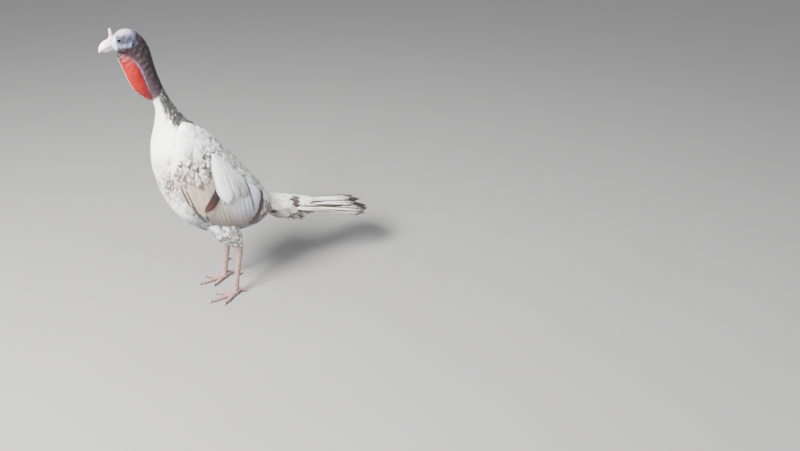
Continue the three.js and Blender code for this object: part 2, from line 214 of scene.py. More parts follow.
@dataclass
class Body(Surface):
    """Trunk, neck and head as one surface lofted between a dorsal and a ventral rail.

    Along is minus the station, so feathers lie towards the tail; across is the turn round the
    section, from the back (0) over the left side (a quarter turn) to the belly (half a turn).
    Stations hold the top and the bottom of the section as forward and height, and its half width,
    in millimetres, from the root of the tail to the base of the bill.
    """

    shift: float
    fullness: float = 2.1
    stations: tuple = (
        (-200, 312, -190, 268, 28), (-178, 350, -160, 246, 56), (-144, 402, -105, 228, 84),
        (-100, 462, -40, 228, 102), (-52, 522, 30, 240, 113), (-8, 576, 100, 286, 116),
        (32, 618, 150, 360, 112), (62, 651, 179, 450, 100), (84, 682, 182, 538, 80),
        (99, 711, 160, 618, 56), (111, 741, 148, 680, 38), (122, 774, 158, 730, 29),
        (132, 811, 176, 778, 26), (137, 849, 192, 823, 26), (143, 886, 206, 857, 26),
        (158, 917, 218, 872, 27), (180, 936, 228, 879, 27), (206, 941, 237, 884, 23.5),
        (229, 932, 243, 888, 17), (244, 919, 248, 892, 12),
    )

    def place(self, x: Array, f: Array, z: Array) -> Array:
        """Puts side, forward and height (metres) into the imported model's frame."""
        x, f, z = np.broadcast_arrays(x, f, z)
        return np.stack([x, self.shift - f, z], -1)

    def read(self, points: Array) -> tuple[Array, Array, Array]:
        """Side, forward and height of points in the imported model's frame."""
        return points[..., 0], self.shift - points[..., 1], points[..., 2]

    def section(self, station: Array) -> tuple[Array, Array, Array]:
        """The section's top and bottom, as (forward, height), and its half width, in metres."""
        rails = curve(np.array(self.stations) * MM, np.asarray(station, float))
        return rails[..., 0:2], rails[..., 2:4], np.maximum(rails[..., 4], 0.009)

    def point(self, a: Array, b: Array, h: Number = 0.0) -> Array:
        """Middle + up * (top - middle) + out * half width.

        Args:
            a: minus the station.
            b: the turn; up and out are its cosine and sine raised to 2 / fullness, a superellipse.
            h: metres proud of the surface.

        Returns:
            The points.
        """
        station, b = np.broadcast_arrays(-np.asarray(a, float), b)
        top, bottom, half = self.section(station)
        power = 2 / lerp(self.fullness, 2.0, smoothstep(station, 9.2, 10.0))
        up = np.sign(np.cos(b)) * np.abs(np.cos(b)) ** power
        out = np.sign(np.sin(b)) * np.abs(np.sin(b)) ** power
        middle, stem = (top + bottom) / 2, (top - bottom) / 2
        stem = stem * (1 + h / np.linalg.norm(stem, axis=-1))[..., None]
        spot = middle + stem * up[..., None]
        return self.place((half + h) * out, spot[..., 0], spot[..., 1])


@dataclass
class Wing(Surface):
    """The folded wing's outer face, laid on the body.

    Along runs from the wrist (0) to the tips (1), across from the lower edge (0) to the upper (1).
    Edges are (station, height), where height is 1 on the back and -1 on the belly.
    """

    body: Body
    side: int
    thickness: float = 0.012
    rim: float = 0.0028
    wrist: float = 0.12
    lower: tuple = ((7.8, -0.22), (6.9, -0.42), (5.4, -0.52), (3.8, -0.56), (2.1, -0.6))
    upper: tuple = ((8.2, 0.2), (7.5, 0.7), (5.6, 0.9), (3.7, 0.93), (1.7, 0.86))

    def rise(self, u: Array, v: Array) -> Array:
        """The face's height on the body: the rim plus the thickness times two sine arches.

        Args:
            u: along the wing.
            v: across it.

        Returns:
            Metres over the body.
        """
        over = np.maximum(np.sin(math.pi * np.clip(0.1 + 0.82 * v, 0, 1)), 1e-6) ** 0.6
        down = np.where(u < 0.5, np.sin(math.pi * np.clip(self.wrist + u, 0, 0.5)) ** 0.7, 1)
        return self.rim + self.thickness * over * down

    def point(self, a: Array, b: Array, h: Number = 0.0) -> Array:
        """The body's surface under a place on the wing, raised by the rise.

        Args:
            a: along the wing; past its ends the station runs straight on.
            b: across the wing, blending the lower edge into the upper.
            h: metres proud of the face.

        Returns:
            The points.
        """
        a, b = np.broadcast_arrays(np.asarray(a, float), b)
        held = np.clip(a, 0, 1)
        low, high = curve(self.lower, held * 4), curve(self.upper, held * 4)
        station = lerp(low[..., 0], high[..., 0], b) - (a - held) * 7
        turn = self.side * np.arccos(np.clip(lerp(low[..., 1], high[..., 1], b), -1, 1))
        return self.body.point(-station, turn, self.rise(a, b) + h)

    def covers(self, station: Array, turn: Array, margin: float) -> Array:
        """Whether places on the body lie under the wing.

        Args:
            station: the body's station.
            turn: its turn.
            margin: how far inside the wing's edges, in height.

        Returns:
            True where the wing covers the place.
        """
        u = np.linspace(0, 1, 40)
        low, high = curve(self.lower, u * 4), curve(self.upper, u * 4)
        height = np.cos(turn)
        under = height > np.interp(station, low[::-1, 0], low[::-1, 1]) + margin
        over = height < np.interp(station, high[::-1, 0], high[::-1, 1]) - margin
        front = station < lerp(7.8, 8.2, (height + 0.22) / 0.42) - margin * 4
        back = station > lerp(2.1, 1.7, (height + 0.6) / 1.46) + margin * 4
        return under & over & front & back & (np.sign(np.sin(turn)) == self.side)


@dataclass
class Tail(Surface):
    """The closed tail's plane: along is 0 at the root and 1 at the tips, across is -1 to 1."""

    body: Body
    root: tuple = (-0.172, 0.292)
    slope: float = math.radians(-12)
    length: float = 0.425
    spread: float = math.radians(10)
    half: float = 0.034

    def point(self, a: Array, b: Array, h: Number = 0.0) -> Array:
        """A fan: side = half * b + reach * sin(spread * b), with reach = length * a * (1 - 0.05 b^2).

        Args:
            a: from the root to the tips; the fan droops by its square.
            b: from the right edge to the left; the fan is arched by its square.
            h: metres over the plane.

        Returns:
            The points.
        """
        a, b = np.broadcast_arrays(np.asarray(a, float), b)
        reach = self.length * a * (1 - 0.05 * b * b)
        arch = -0.02 * b * b * (0.35 + 0.65 * a) - 0.01 * a * np.abs(a)
        back = reach * np.cos(self.spread * b)
        f = self.root[0] - back * math.cos(self.slope)
        z = self.root[1] + back * math.sin(self.slope) + arch + h
        return self.body.place(self.half * b + reach * np.sin(self.spread * b), f, z)


@dataclass
class TailCoverts(Surface):
    """The soft pad of small feathers over (or under) the tail's root: across is the turn round it."""

    tail: Tail
    wide: tuple
    high: tuple
    lift: tuple
    long: float = 0.205

    def point(self, a: Array, b: Array, h: Number = 0.0) -> Array:
        """An arched ellipse round the tail's middle line that closes as sqrt(1 - a^3.2).

        Args:
            a: from the pad's root to its end.
            b: the turn round the pad.
            h: metres proud of the pad.

        Returns:
            The points.
        """
        a, b = np.broadcast_arrays(np.asarray(a, float), b)
        close = np.sqrt(np.clip(1 - np.abs(a) ** 3.2, 0.01, 1))
        half = lerp(self.wide[0], self.wide[1], np.sin(math.pi / 2 * a)) * close + h
        low, swell, end = self.high
        tall = (lerp(low, end, a) + swell * np.sin(math.pi * np.clip(a, 0, 1))) * close + h
        root = self.tail.point(self.long * a / self.tail.length, 0 * a, lerp(*self.lift, a))
        side = half * np.sin(b)
        return root + np.stack([side, 0 * side, -6 * side**2 + tall * np.cos(b)], -1)


@dataclass
class Limb(Surface):
    """A round limb along a smooth line, given as rows of (x, forward, height, width, depth).

    Along runs from 0 to 1, across is the turn, with a quarter turn lying along `way`.
    """

    body: Body
    line: Sequence[tuple]
    way: tuple = (1.0, 0.0, 0.0)

    def point(self, a: Array, b: Array, h: Number = 0.0) -> Array:
        """Line + side * width * sin(turn) + deep * depth * cos(turn), deep square to the line.

        Args:
            a: along the line.
            b: the turn.
            h: metres proud of the limb.

        Returns:
            The points.
        """
        a, b = np.broadcast_arrays(np.asarray(a, float), b)
        knots = np.array(self.line, float)
        at = a * (len(knots) - 1)
        read = curve(knots, at)
        ahead = curve(knots[:, :3], at + 0.02) - curve(knots[:, :3], at - 0.02)
        side = np.array([self.way[0], -self.way[1], self.way[2]])
        deep = np.cross(ahead * [1, -1, 1], side)
        deep /= np.linalg.norm(deep, axis=-1, keepdims=True)
        wide, tall = (read[..., 3] + h) * np.sin(b), (read[..., 4] + h) * np.cos(b)
        middle = self.body.place(read[..., 0], read[..., 1], read[..., 2])
        return middle + side * wide[..., None] + deep * tall[..., None]


# ---- meshes kept as arrays


@dataclass
class Shape:
    """Points, faces and the values painted on the points, before they become a mesh.

    `faces` is a list of index tables, one for each number of corners. `tint` and `stain` are
    linear colours, `mark` holds four pattern values, `vane` is (across, along) on a feather and
    `atlas` is the place on the bake map.
    """

    points: Array
    faces: list[Array]
    tint: Array
    stain: Array | None = None
    mark: Array | None = None
    vane: Array | None = None
    atlas: Array | None = None

    def filled(self) -> "Shape":
        """The same shape with plain values wherever a painted value is missing."""
        n = len(self.points)
        self.tint = np.broadcast_to(self.tint, (n, 3))
        self.stain = self.tint if self.stain is None else np.broadcast_to(self.stain, (n, 3))
        self.mark = np.zeros((n, 4)) if self.mark is None else self.mark
        self.vane = np.zeros((n, 2)) if self.vane is None else self.vane
        return self

    def outward(self) -> "Shape":
        """The same shape with its faces turned outwards, by the sign of the volume they enclose."""
        volume = 0.0
        for table in self.faces:
            p = self.points[table] - self.points.mean(0)
            for k in range(1, table.shape[1] - 1):
                volume += np.einsum("ij,ij->", p[:, 0], np.cross(p[:, k], p[:, k + 1]))
        if volume < 0:
            self.faces = [table[:, ::-1] for table in self.faces]
        return self


def joined(shapes: Sequence[Shape]) -> Shape:
    """Sets several shapes side by side in one.

    Args:
        shapes: the parts; each has its faces turned outwards first.

    Returns:
        The whole, with a bake map only when every part has one.
    """
    shapes = [shape.outward().filled() for shape in shapes]
    starts = np.cumsum([0] + [len(shape.points) for shape in shapes])
    faces = [table + start for shape, start in zip(shapes, starts) for table in shape.faces]

    def run(key: str) -> Array | None:
        """One value of every part, end to end."""
        parts = [getattr(shape, key) for shape in shapes]
        return None if any(part is None for part in parts) else np.concatenate(parts)

    return Shape(run("points"), faces, *map(run, ("tint", "stain", "mark", "vane", "atlas")))


def make_object(name: str, shape: Shape, material: Material) -> bpy.types.Object:
    """Puts a shape into a mesh object at the origin.

    Args:
        name: the piece's name.
        shape: what to build; its faces are written table by table with foreach_set.
        material: the finish.

    Returns:
        The object, smooth shaded and linked to the scene.
    """
    shape = shape.filled()
    corners = np.concatenate([table.ravel() for table in shape.faces]).astype(np.int32)
    totals = np.concatenate([np.full(len(t), t.shape[1]) for t in shape.faces]).astype(np.int32)
    mesh = bpy.data.meshes.new(name)
    mesh.vertices.add(len(shape.points))
    mesh.vertices.foreach_set("co", shape.points.astype(np.float32).ravel())
    mesh.loops.add(len(corners))
    mesh.loops.foreach_set("vertex_index", corners)
    mesh.polygons.add(len(totals))
    mesh.polygons.foreach_set("loop_start", (np.cumsum(totals) - totals).astype(np.int32))
    mesh.polygons.foreach_set("use_smooth", np.ones(len(totals), bool))
    mesh.update(calc_edges=True)
    for layer, values in (("Vane", shape.vane), ("OFBake", shape.atlas)):
        if values is not None:
            uv = mesh.uv_layers.new(name=layer)
            uv.data.foreach_set("uv", values[corners].astype(np.float32).ravel())
    alpha = np.ones((len(shape.points), 1))
    for layer, values in (("Tint", shape.tint), ("Stain", shape.stain), ("Mark", shape.mark)):
        paint = mesh.color_attributes.new(layer, "FLOAT_COLOR", "POINT")
        rgba = values if values.shape[1] == 4 else np.hstack([values, alpha])
        paint.data.foreach_set("color", rgba.astype(np.float32).ravel())
    mesh.validate(clean_customdata=False)
    mesh.set_sharp_from_angle(angle=math.radians(80))
    mesh.materials.append(material)
    piece = bpy.data.objects.new(name, mesh)
    bpy.context.scene.collection.objects.link(piece)
    LOG.info("%s: %d faces", name, len(totals))
    return piece


def tube(grid: Array, tint: Array, stain: Array | None = None) -> Shape:
    """Closes a grid of rings into a solid.

    Args:
        grid: (rings, columns, 3), wrapping round its columns; the first and the last ring are
            closed by a fan of triangles to their own middle.
        tint: colours, one for the whole or one for each grid point.
        stain: a second colour in the same form.

    Returns:
        The closed shape; its vane map runs round the ring and along the rings.
    """
    rings, columns = grid.shape[:2]
    index = np.arange(rings * columns).reshape(rings, columns)
    after = np.roll(index, -1, 1)
    quads = np.stack([index[:-1], after[:-1], after[1:], index[1:]], -1).reshape(-1, 4)
    first = np.stack([after[0], index[0], np.full(columns, rings * columns)], -1)
    final = np.stack([index[-1], after[-1], np.full(columns, rings * columns + 1)], -1)

    def spread(values: Array | None) -> Array | None:
        """Values for the grid's points and its two poles, each pole at its ring's mean."""
        if values is None:
            return None
        values = np.broadcast_to(values, (rings, columns, values.shape[-1]))
        ends = np.stack([values[0].mean(0), values[-1].mean(0)])
        return np.concatenate([values.reshape(-1, values.shape[-1]), ends])

    u, v = np.meshgrid(np.arange(columns) / columns, np.linspace(0, 1, rings))
    vane = np.concatenate([np.stack([u, v], -1).reshape(-1, 2), [[0.5, 0], [0.5, 1]]])
    faces = [quads, np.concatenate([first, final])]
    return Shape(spread(grid), faces, spread(tint), spread(stain), vane=vane)


def torus(grid: Array, tint: Array, stain: Array | None = None) -> Shape:
    """Closes a grid that wraps round both ways into a ring-shaped solid.

    Args:
        grid: (rings, columns, 3).
        tint: colours, one for the whole or one for each point.
        stain: a second colour in the same form.

    Returns:
        The closed shape.
    """
    index = np.arange(grid.shape[0] * grid.shape[1]).reshape(grid.shape[:2])
    after, below = np.roll(index, -1, 1), np.roll(index, -1, 0)
    quads = np.stack([index, after, np.roll(after, -1, 0), below], -1).reshape(-1, 4)
    return Shape(grid.reshape(-1, 3), [quads], tint, stain)


def normals(grid: Array) -> Array:
    """Unit normals from the cross product of a grid's two differences.

    Args:
        grid: (rings, columns, 3), wrapping round its columns.

    Returns:
        The normals, facing away from the middle of each ring.
    """
    around = np.roll(grid, -1, 1) - np.roll(grid, 1, 1)
    square = np.cross(around, np.gradient(grid, axis=0))
    square /= np.maximum(np.linalg.norm(square, axis=-1, keepdims=True), 1e-12)
    outward = grid - grid.mean(1, keepdims=True)
    return square * np.sign((square * outward).sum((0, 1, 2)))


# ---- feathers


class Outline(Enum):
    """How wide a feather is along its length, as (start, share at the root, full by, round end).

    The breadth is the root's share easing to 1 between `start` and `full by`, times a round end:
    sqrt(1 - ((t - begin) / run)^2) past its beginning.
    """

    CONTOUR = (0.0, 0.3, 0.45, 0.58, 0.424)
    BROAD = (0.0, 0.42, 0.4, 0.74, 0.262)
    QUILL = (0.02, 0.16, 0.3, 0.9, 0.1008)
    LOOSE = "broad at the root, with a soft narrow tip"
    BRISTLE = "a thin tapering hair-like feather"
    PLATE = "a horny plate with round corners"

    def breadth(self, t: Array) -> Array:
        """How wide the feather is.

        Args:
            t: the place along it, from 0 at the root to 1 at the tip.

        Returns:
            The share of the full width there.
        """
        if self is Outline.LOOSE:
            return (0.35 + 0.65 * smoothstep(t, 0, 0.35)) * np.clip(1 - t**3, 0, 1) ** 0.7 + 0.03
        if self is Outline.BRISTLE:
            return 0.12 + 0.88 * np.clip(1 - t, 0, 1) ** 0.8
        if self is Outline.PLATE:
            return np.clip(1 - np.abs(2 * t - 1) ** 5, 0, 1) ** 0.3 * 0.94 + 0.06
        start, root, full, begin, run = self.value
        end = np.sqrt(np.clip(1 - (np.clip(t - begin, 0, 1) / run) ** 2, 0, 1))
        return (root + (1 - root) * smoothstep(t, start, full)) * end


@dataclass
class Feathers:
    """A batch of feathers on one surface. Each array has one value for each feather, in metres.

    `low` and `high` are the heights of the root and the tip over the surface, `curl` raises the
    tip further, `yaw` turns the feather from straight back, `sweep` bends it sideways as a share
    of its length, and `roll` lifts one edge.
    """

    surface: Surface
    a: Array
    b: Array
    length: Array
    width: Array
    low: Number = -0.008
    high: Number = 0.0005
    curl: Number = 0.0
    yaw: Number = 0.0
    sweep: Number = 0.0
    roll: Number = 0.0
    camber: float = 0.05
    thick: float = 0.0004
    outline: Outline = Outline.CONTOUR
    tint: Array = field(default_factory=lambda: np.ones(3))
    tip: Array | None = None
    stain: Array = field(default_factory=lambda: np.ones(3))
    mottle: Number = 0.0
    ragged: float = 0.06
    patch: float = 0.003
    seed: int = 1

    def each(self, value: Number) -> Array:
        """One value a feather, shaped to meet the (row, column) grid."""
        return np.broadcast_to(np.asarray(value, float), (len(self.a),))[:, None, None]

    def grown(self, rows: int, columns: int, atlas: Place) -> Shape:
        """Builds every feather as a closed lens-shaped vane.

        Along the shaft (t) and across it (w, from -1 to 1) a point lies at root + along * t *
        length, to the side by w * half width * breadth(t) plus a bend of sweep * t^2 * length. It
        stands at low + (high - low) * (1 - (1 - t)^3) + curl * t^4, arched by camber * (1 - w^2)
        and lifted by roll * w. The top and the under side part by the thickness * (1 - w^2) and
        meet along the edges.

        Args:
            rows: rows of points from root to tip.
            columns: points across the top.
            atlas: gives the root's place on the bake map from (along, across).

        Returns:
            One shape that holds every feather.
        """
        n, each = len(self.a), self.each
        rng = np.random.default_rng(self.seed)
        t = rounded(rows, 0.62)[None, :, None]
        top = np.linspace(-1, 1, columns)
        w = np.concatenate([top, top[-2:0:-1]])[None, None, :]
        face = np.concatenate([np.ones(columns), -np.ones(columns - 2)])[None, None, :]
        ring = w.shape[2]
        length, width, yaw = each(self.length), each(self.width), each(self.yaw)
        breadth = self.outline.breadth(t) * width / 2
        rough = 1 + self.ragged * rng.normal(size=(n, rows, ring)) * (np.abs(w) > 0.9)
        aside = w * breadth * rough + each(self.sweep) * t * t * length
        ahead = t * length * (1 - 0.05 * w * w * t)
        down = ahead * np.cos(yaw) - aside * np.sin(yaw)
        over = ahead * np.sin(yaw) + aside * np.cos(yaw)
        near, _ = self.surface.scales(self.a, self.b)
        middle = self.a + 0.5 * np.asarray(self.length) * np.cos(yaw[:, 0, 0]) / near
        along, across = self.surface.scales(middle, self.b)
        height = lerp(each(self.low), each(self.high), 1 - (1 - t) ** 3) + each(self.curl) * t**4
        height = height + self.camber * breadth * (1 - w * w) + each(self.roll) * w * breadth
        height = height + face * self.thick * (1 - w * w) * (1 - 0.6 * t)
        points = self.surface.point(
            each(self.a) + down / each(along), each(self.b) + over / each(across), height)

        index = np.arange(n * rows * ring).reshape(n, rows, ring)
        after = np.roll(index, -1, 2)
        quads = np.stack([index[:, :-1], after[:, :-1], after[:, 1:], index[:, 1:]], -1).reshape(-1, 4)
        caps = np.concatenate([index[:, 0, ::-1], index[:, -1]])
        grid = np.ones((n, rows, ring))

        def paint(value: Array) -> Array:
            """A colour for each feather, repeated over its points."""
            return np.broadcast_to(value, (n, 3))[:, None, None] * grid[..., None]

        def flat(values: Array) -> Array:
            """The grid's values in one table."""
            return values.reshape(-1, values.shape[-1])

        tint = paint(self.tint)
        if self.tip is not None:
            tint = lerp(tint, paint(self.tip), smoothstep(t, 0.35, 0.95)[..., None])
        chance = rng.uniform(size=(n, 1, 1)) * grid
        mark = np.stack([each(self.mottle) * grid, chance, length * grid, width * grid], -1)
        vane = np.stack([(0.5 + 0.5 * w) * grid, t * grid], -1)
        bake = atlas(self.a, self.b)[:, None, None] + self.patch * (vane - 0.5)
        return Shape(flat(points), [quads, caps], *map(flat, (tint, paint(self.stain), mark, vane, bake)))


def lay_rows(surface: Surface, start: float, stop: float, pitch: Callable[[float], tuple] | tuple,
             span: tuple[float, float], seed: int, jitter: float = 0.22) -> tuple[Array, Array, Array]:
    """Sets feather roots out in staggered rows, like tiles.

    Args:
        surface: what they grow on.
        start: along of the first row.
        stop: along past which no row starts.
        pitch: metres between rows and between neighbours, or a function that gives them.
        span: the range of across.
        seed: for the jitter.
        jitter: how far a root strays, as a share of the pitch.

    Returns:
        Along and across of each root, and the row step in units of along.
    """
    rng = np.random.default_rng(seed)
    alongs, acrosses, steps = [], [], []
    samples = np.linspace(*span, 240)
    a, row = start, 0
    while a < stop:
        down, over = pitch(a) if callable(pitch) else pitch
        scale = surface.scales(np.full(240, a), samples)
        step = down / scale[0].mean()
        run = np.concatenate([[0], np.cumsum(scale[1][1:] * np.diff(samples))])
        count = max(1, round(run[-1] / over))
        spots = (np.arange(count) + 0.25 + 0.5 * (row % 2) + rng.uniform(-jitter, jitter, count)) / count
        alongs.append(a + step * rng.uniform(-jitter, jitter, count))
        acrosses.append(np.interp(spots * run[-1], run, samples))
        steps.append(np.full(count, step))
        a, row = a + step, row + 1
    return np.concatenate(alongs), np.concatenate(acrosses), np.concatenate(steps)


# ---- finishes


class Nodes:
    """A material's node tree, built a node at a time."""

    def __init__(self, name: str, **sockets: float) -> None:
        """Starts a material.

        Args:
            name: the material's name.
            sockets: constant values for the shader's sockets, with underscores for spaces.
        """
        self.material = bpy.data.materials.new(name)
        self.material.use_nodes = True
        self.tree = self.material.node_tree
        self.shader = self.tree.nodes["Principled BSDF"]
        for key, value in sockets.items():
            self.shader.inputs[key.replace("_", " ")].default_value = value

    def feed(self, socket: Socket, value: Value) -> None:
        """Links an output to an input or sets a constant on it.

        Args:
            socket: the input.
            value: an output or a constant; None leaves the input as it is.
        """
        if isinstance(value, Socket):
            self.tree.links.new(value, socket)
        elif value is not None:
            socket.default_value = value

    def add(self, kind: str, *inputs: Value, out: int | str = 0, **settings: Any) -> Socket:
        """Adds a node.

        Args:
            kind: the node's type, without the leading ShaderNode.
            inputs: a value or an output for each input in order.
            out: the output wanted.
            settings: the node's own properties.

        Returns:
            That output.
        """
        node = self.tree.nodes.new("ShaderNode" + kind)
        for key, value in settings.items():
            setattr(node, key, value)
        for socket, value in zip(node.inputs, inputs):
            self.feed(socket, value)
        return node.outputs[out]

    def math(self, operation: str, a: Value, b: Value = None) -> Socket:
        """A Math node's result."""
        return self.add("Math", a, b, operation=operation)

    def plus(self, a: Value, b: Value) -> Socket:
        """The sum of two values."""
        return self.math("ADD", a, b)

    def times(self, a: Value, b: Value, c: Value = None) -> Socket:
        """The product of two values, or of three."""
        product = self.math("MULTIPLY", a, b)
        return product if c is None else self.math("MULTIPLY", product, c)

    def ease(self, value: Value, low: float, high: float, start: float = 0.0, end: float = 1.0) -> Socket:
        """A smooth step of the value from start at low to end at high."""
        return self.add("MapRange", value, low, high, start, end, interpolation_type="SMOOTHSTEP")

    def mix(self, share: Value, a: Value, b: Value, blend: str = "MIX") -> Socket:
        """A colour between a and b; a constant colour is given as three channels."""
        a, b = ((*colour, 1) if isinstance(colour, tuple) else colour for colour in (a, b))
        return self.add("Mix", share, *[None] * 5, a, b, out=2, data_type="RGBA", blend_type=blend)

    def noise(self, vector: Value, scale: float, detail: float = 2.0) -> Socket:
        """Noise at the vector."""
        return self.add("TexNoise", vector, None, scale, detail)

    def place(self) -> Socket:
        """The point's place on the object."""
        return self.add("TexCoord", out="Object")

    def attribute(self, name: str, out: str = "Color") -> Socket:
        """A painted attribute."""
        return self.add("Attribute", attribute_name=name, out=out)

    def painted(self, share: Value) -> Socket:
        """The painted tint, with the painted stain over it by the share."""
        return self.mix(share, self.attribute("Tint"), self.attribute("Stain"))

    def split(self, vector: Value) -> list[Socket]:
        """The three parts of a vector or a colour."""
        return list(self.add("SeparateXYZ", vector).node.outputs)

    def finish(self, colour: Socket, height: Value = None, depth: float = 0.001,
               roughness: Value = None) -> Material:
        """Joins colour, bump and roughness to the shader.

        Args:
            colour: the base colour's output.
            height: the bump's height output, or None.
            depth: metres that a height of 1 stands for.
            roughness: the roughness output, or None.

        Returns:
            The material.
        """
        self.feed(self.shader.inputs["Base Color"], colour)
        self.feed(self.shader.inputs["Roughness"], roughness)
        if height is not None:
            relief = self.tree.nodes.new("ShaderNodeBump")
            relief.inputs["Distance"].default_value = depth
            self.feed(relief.inputs["Height"], height)
            self.feed(self.shader.inputs["Normal"], relief.outputs[0])
        return self.material


class Marking(Enum):
    """The pattern that a feather's stain makes."""

    CRESCENT = "bands and spots towards the tip"
    STREAK = "long stripes and a worn dirty tip"


@dataclass(frozen=True)
class FeatherFinish:
    """Matt white feather with barbs, a fine shaft, the stain's pattern and darker edges, partly the vanes'
    own grey and partly painted shade between overlapping feathers.
    """

    name: str
    marking: Marking = Marking.CRESCENT
    barb_pitch: float = 0.0013
    barb_depth: float = 0.00035
    # The rim darkens the edges: partly the vanes' own grey, partly painted shade between overlapping
    # feathers.
    rim: float = 0.12
    sheen: float = 0.25
    worn: tuple = (0.8, 1.02)

    def material(self) -> Material:
        """Builds the finish from the feather's own map and its painted values."""
        n = Nodes(self.name, Roughness=0.62, Sheen_Weight=self.sheen, Sheen_Roughness=0.5,
                  Specular_IOR_Level=0.25)
        side, along, _ = n.split(n.add("UVMap", uv_map="Vane"))
        mottle, chance, length = n.split(n.attribute("Mark"))
        across = n.times(n.math("SUBTRACT", side, 0.5), 2.0)
        edge = n.math("ABSOLUTE", across)
        slant = n.times(edge, n.attribute("Mark", "Alpha"), 0.45)
        barb = n.math("SUBTRACT", n.times(along, length), slant)
        seed = n.times(chance, 37.0)
        strand = n.noise(n.add("CombineXYZ", n.times(barb, 160.0), n.times(edge, 1.2), seed), 1.0, 3.0)
        ridge = n.math("SINE", n.plus(n.times(barb, TURN / self.barb_pitch), n.times(strand, 5.0)))
        shaft = n.ease(edge, 0.02, 0.07, 1.0, 0.0)
        colour = n.attribute("Tint")
        for share, shade in ((n.ease(strand, 0.35, 0.7, 0.0, 0.2), (0.7, 0.68, 0.66)),
                             (n.ease(along, 0.0, 0.4, 0.15, 0.0), (0.7, 0.66, 0.62)),
                             (n.times(shaft, 0.35), (0.55, 0.5, 0.42)),
                             # Darker edges: partly the vanes' own grey, partly painted shade between
                             # overlapping feathers.
                             (n.ease(edge, 0.7, 1.0, 0.0, self.rim), (0.42, 0.38, 0.36))):
            colour = n.mix(share, colour, shade, "MULTIPLY")
        draw = self.stripes if self.marking is Marking.STREAK else self.crescents
        pattern = n.times(draw(n, across, edge, along, strand, seed), mottle)
        height = n.plus(n.times(ridge, 0.25), n.plus(n.times(shaft, 1.2), strand))
        return n.finish(n.mix(pattern, colour, n.attribute("Stain")), height, self.barb_depth)

    def crescents(self, n: Nodes, across: Socket, edge: Socket, along: Socket, strand: Socket,
                  seed: Socket) -> Socket:
        """A dark band that follows the round tip, a fainter one behind it and a few spots.

        Args:
            n: the finish's node tree.
            across: the place across the feather, from -1 to 1.
            edge: the same without its sign, 0 on the shaft.
            along: the place along it, from 0 to 1.
            strand: the barbs' noise.
            seed: the feather's own number.

        Returns:
            The marking's strength.
        """
        blot = n.noise(n.add("CombineXYZ", n.times(across, 1.6), n.times(along, 3.0), seed), 1.0)
        ring = n.plus(along, n.times(edge, edge, 0.16))
        ring = n.plus(ring, n.times(n.math("SUBTRACT", blot, 0.5), 0.45))
        outer = n.times(n.ease(ring, 0.67, 0.8), n.ease(ring, 0.96, 1.04, 1.0, 0.0))
        inner = n.times(n.ease(ring, 0.46, 0.53), n.ease(ring, 0.56, 0.64, 0.7, 0.0))
        total = n.math("MAXIMUM", n.math("MAXIMUM", outer, inner), n.ease(blot, 0.52, 0.62, 0.0, 0.9))
        return n.times(total, n.ease(strand, 0.25, 0.5, 0.75, 1.0))

    def stripes(self, n: Nodes, across: Socket, edge: Socket, along: Socket, strand: Socket,
                seed: Socket) -> Socket:
        """Stripes that run beside the shaft and widen into a frayed dark end.

        Args:
            n: the finish's node tree.
            across: the place across the feather, from -1 to 1.
            edge: the same without its sign, 0 on the shaft.
            along: the place along it, from 0 to 1.
            strand: the barbs' noise.
            seed: the feather's own number.

        Returns:
            The marking's strength.
        """
        lane = n.add("CombineXYZ", n.times(across, 3.4), n.times(along, 1.1), seed)
        stripe = n.times(n.ease(n.noise(lane, 1.0, 1.5), 0.48, 0.56), n.ease(along, 0.25, 0.6))
        fray = n.plus(along, n.times(n.math("SUBTRACT", strand, 0.5), 0.35))
        border = n.times(n.ease(edge, 0.5, 0.8), n.ease(along, 0.35, 0.6),
                         n.ease(n.math("FRACT", seed), 0.4, 0.6))
        return n.math("MAXIMUM", n.math("MAXIMUM", stripe, border), n.ease(fray, *self.worn))


@dataclass(frozen=True)
class SkinFinish:
    """Bare living skin: painted zones, fine pebbling with painted shade in its furrows, blotches and a damp
    soft shine.
    """

    name: str = "bare_skin"

    def material(self) -> Material:
        """Voronoi pebbles and noise, over the painted tint."""
        n = Nodes(self.name, Subsurface_Weight=0.12, Subsurface_Scale=0.006, Coat_Weight=0.05,
                  Coat_Roughness=0.35, Specular_IOR_Level=0.3)
        fine = n.noise(n.place(), 900.0, 3.0)
        cells = n.add("TexVoronoi", n.place(), None, 620.0, feature="F1")
        colour = n.painted(n.ease(n.noise(n.place(), 120.0, 4.0), 0.4, 0.62, 0.0, 0.45))
        # Darker where the cells meet: painted shade in the furrows between the pebbles.
        colour = n.mix(n.ease(cells, 0.25, 0.75, 0.0, 0.25), colour, (0.55, 0.42, 0.42), "MULTIPLY")
        height = n.math("SUBTRACT", n.times(fine, 0.6), cells)
        return n.finish(colour, height, 0.0005, n.ease(fine, 0.3, 0.7, 0.42, 0.6))


@dataclass(frozen=True)
class HornFinish:
    """Layered horn with growth lines and blotches."""

    name: str = "horn"

    def material(self) -> Material:
        """Growth lines are noise drawn out four times longer across the bird's length."""
        n = Nodes(self.name, Subsurface_Weight=0.08, Subsurface_Scale=0.004, Specular_IOR_Level=0.5,
                  Coat_Weight=0.12, Coat_Roughness=0.25)
        grain = n.noise(n.add("Mapping", n.place(), None, None, (1.0, 0.25, 1.0)), 420.0, 4.0)
        colour = n.painted(n.ease(n.noise(n.place(), 90.0, 3.0), 0.4, 0.65, 0.0, 0.6))
        colour = n.mix(n.ease(grain, 0.45, 0.7, 0.0, 0.3), colour, (0.5, 0.44, 0.36), "MULTIPLY")
        return n.finish(colour, grain, 0.0003, n.ease(grain, 0.3, 0.7, 0.3, 0.5))


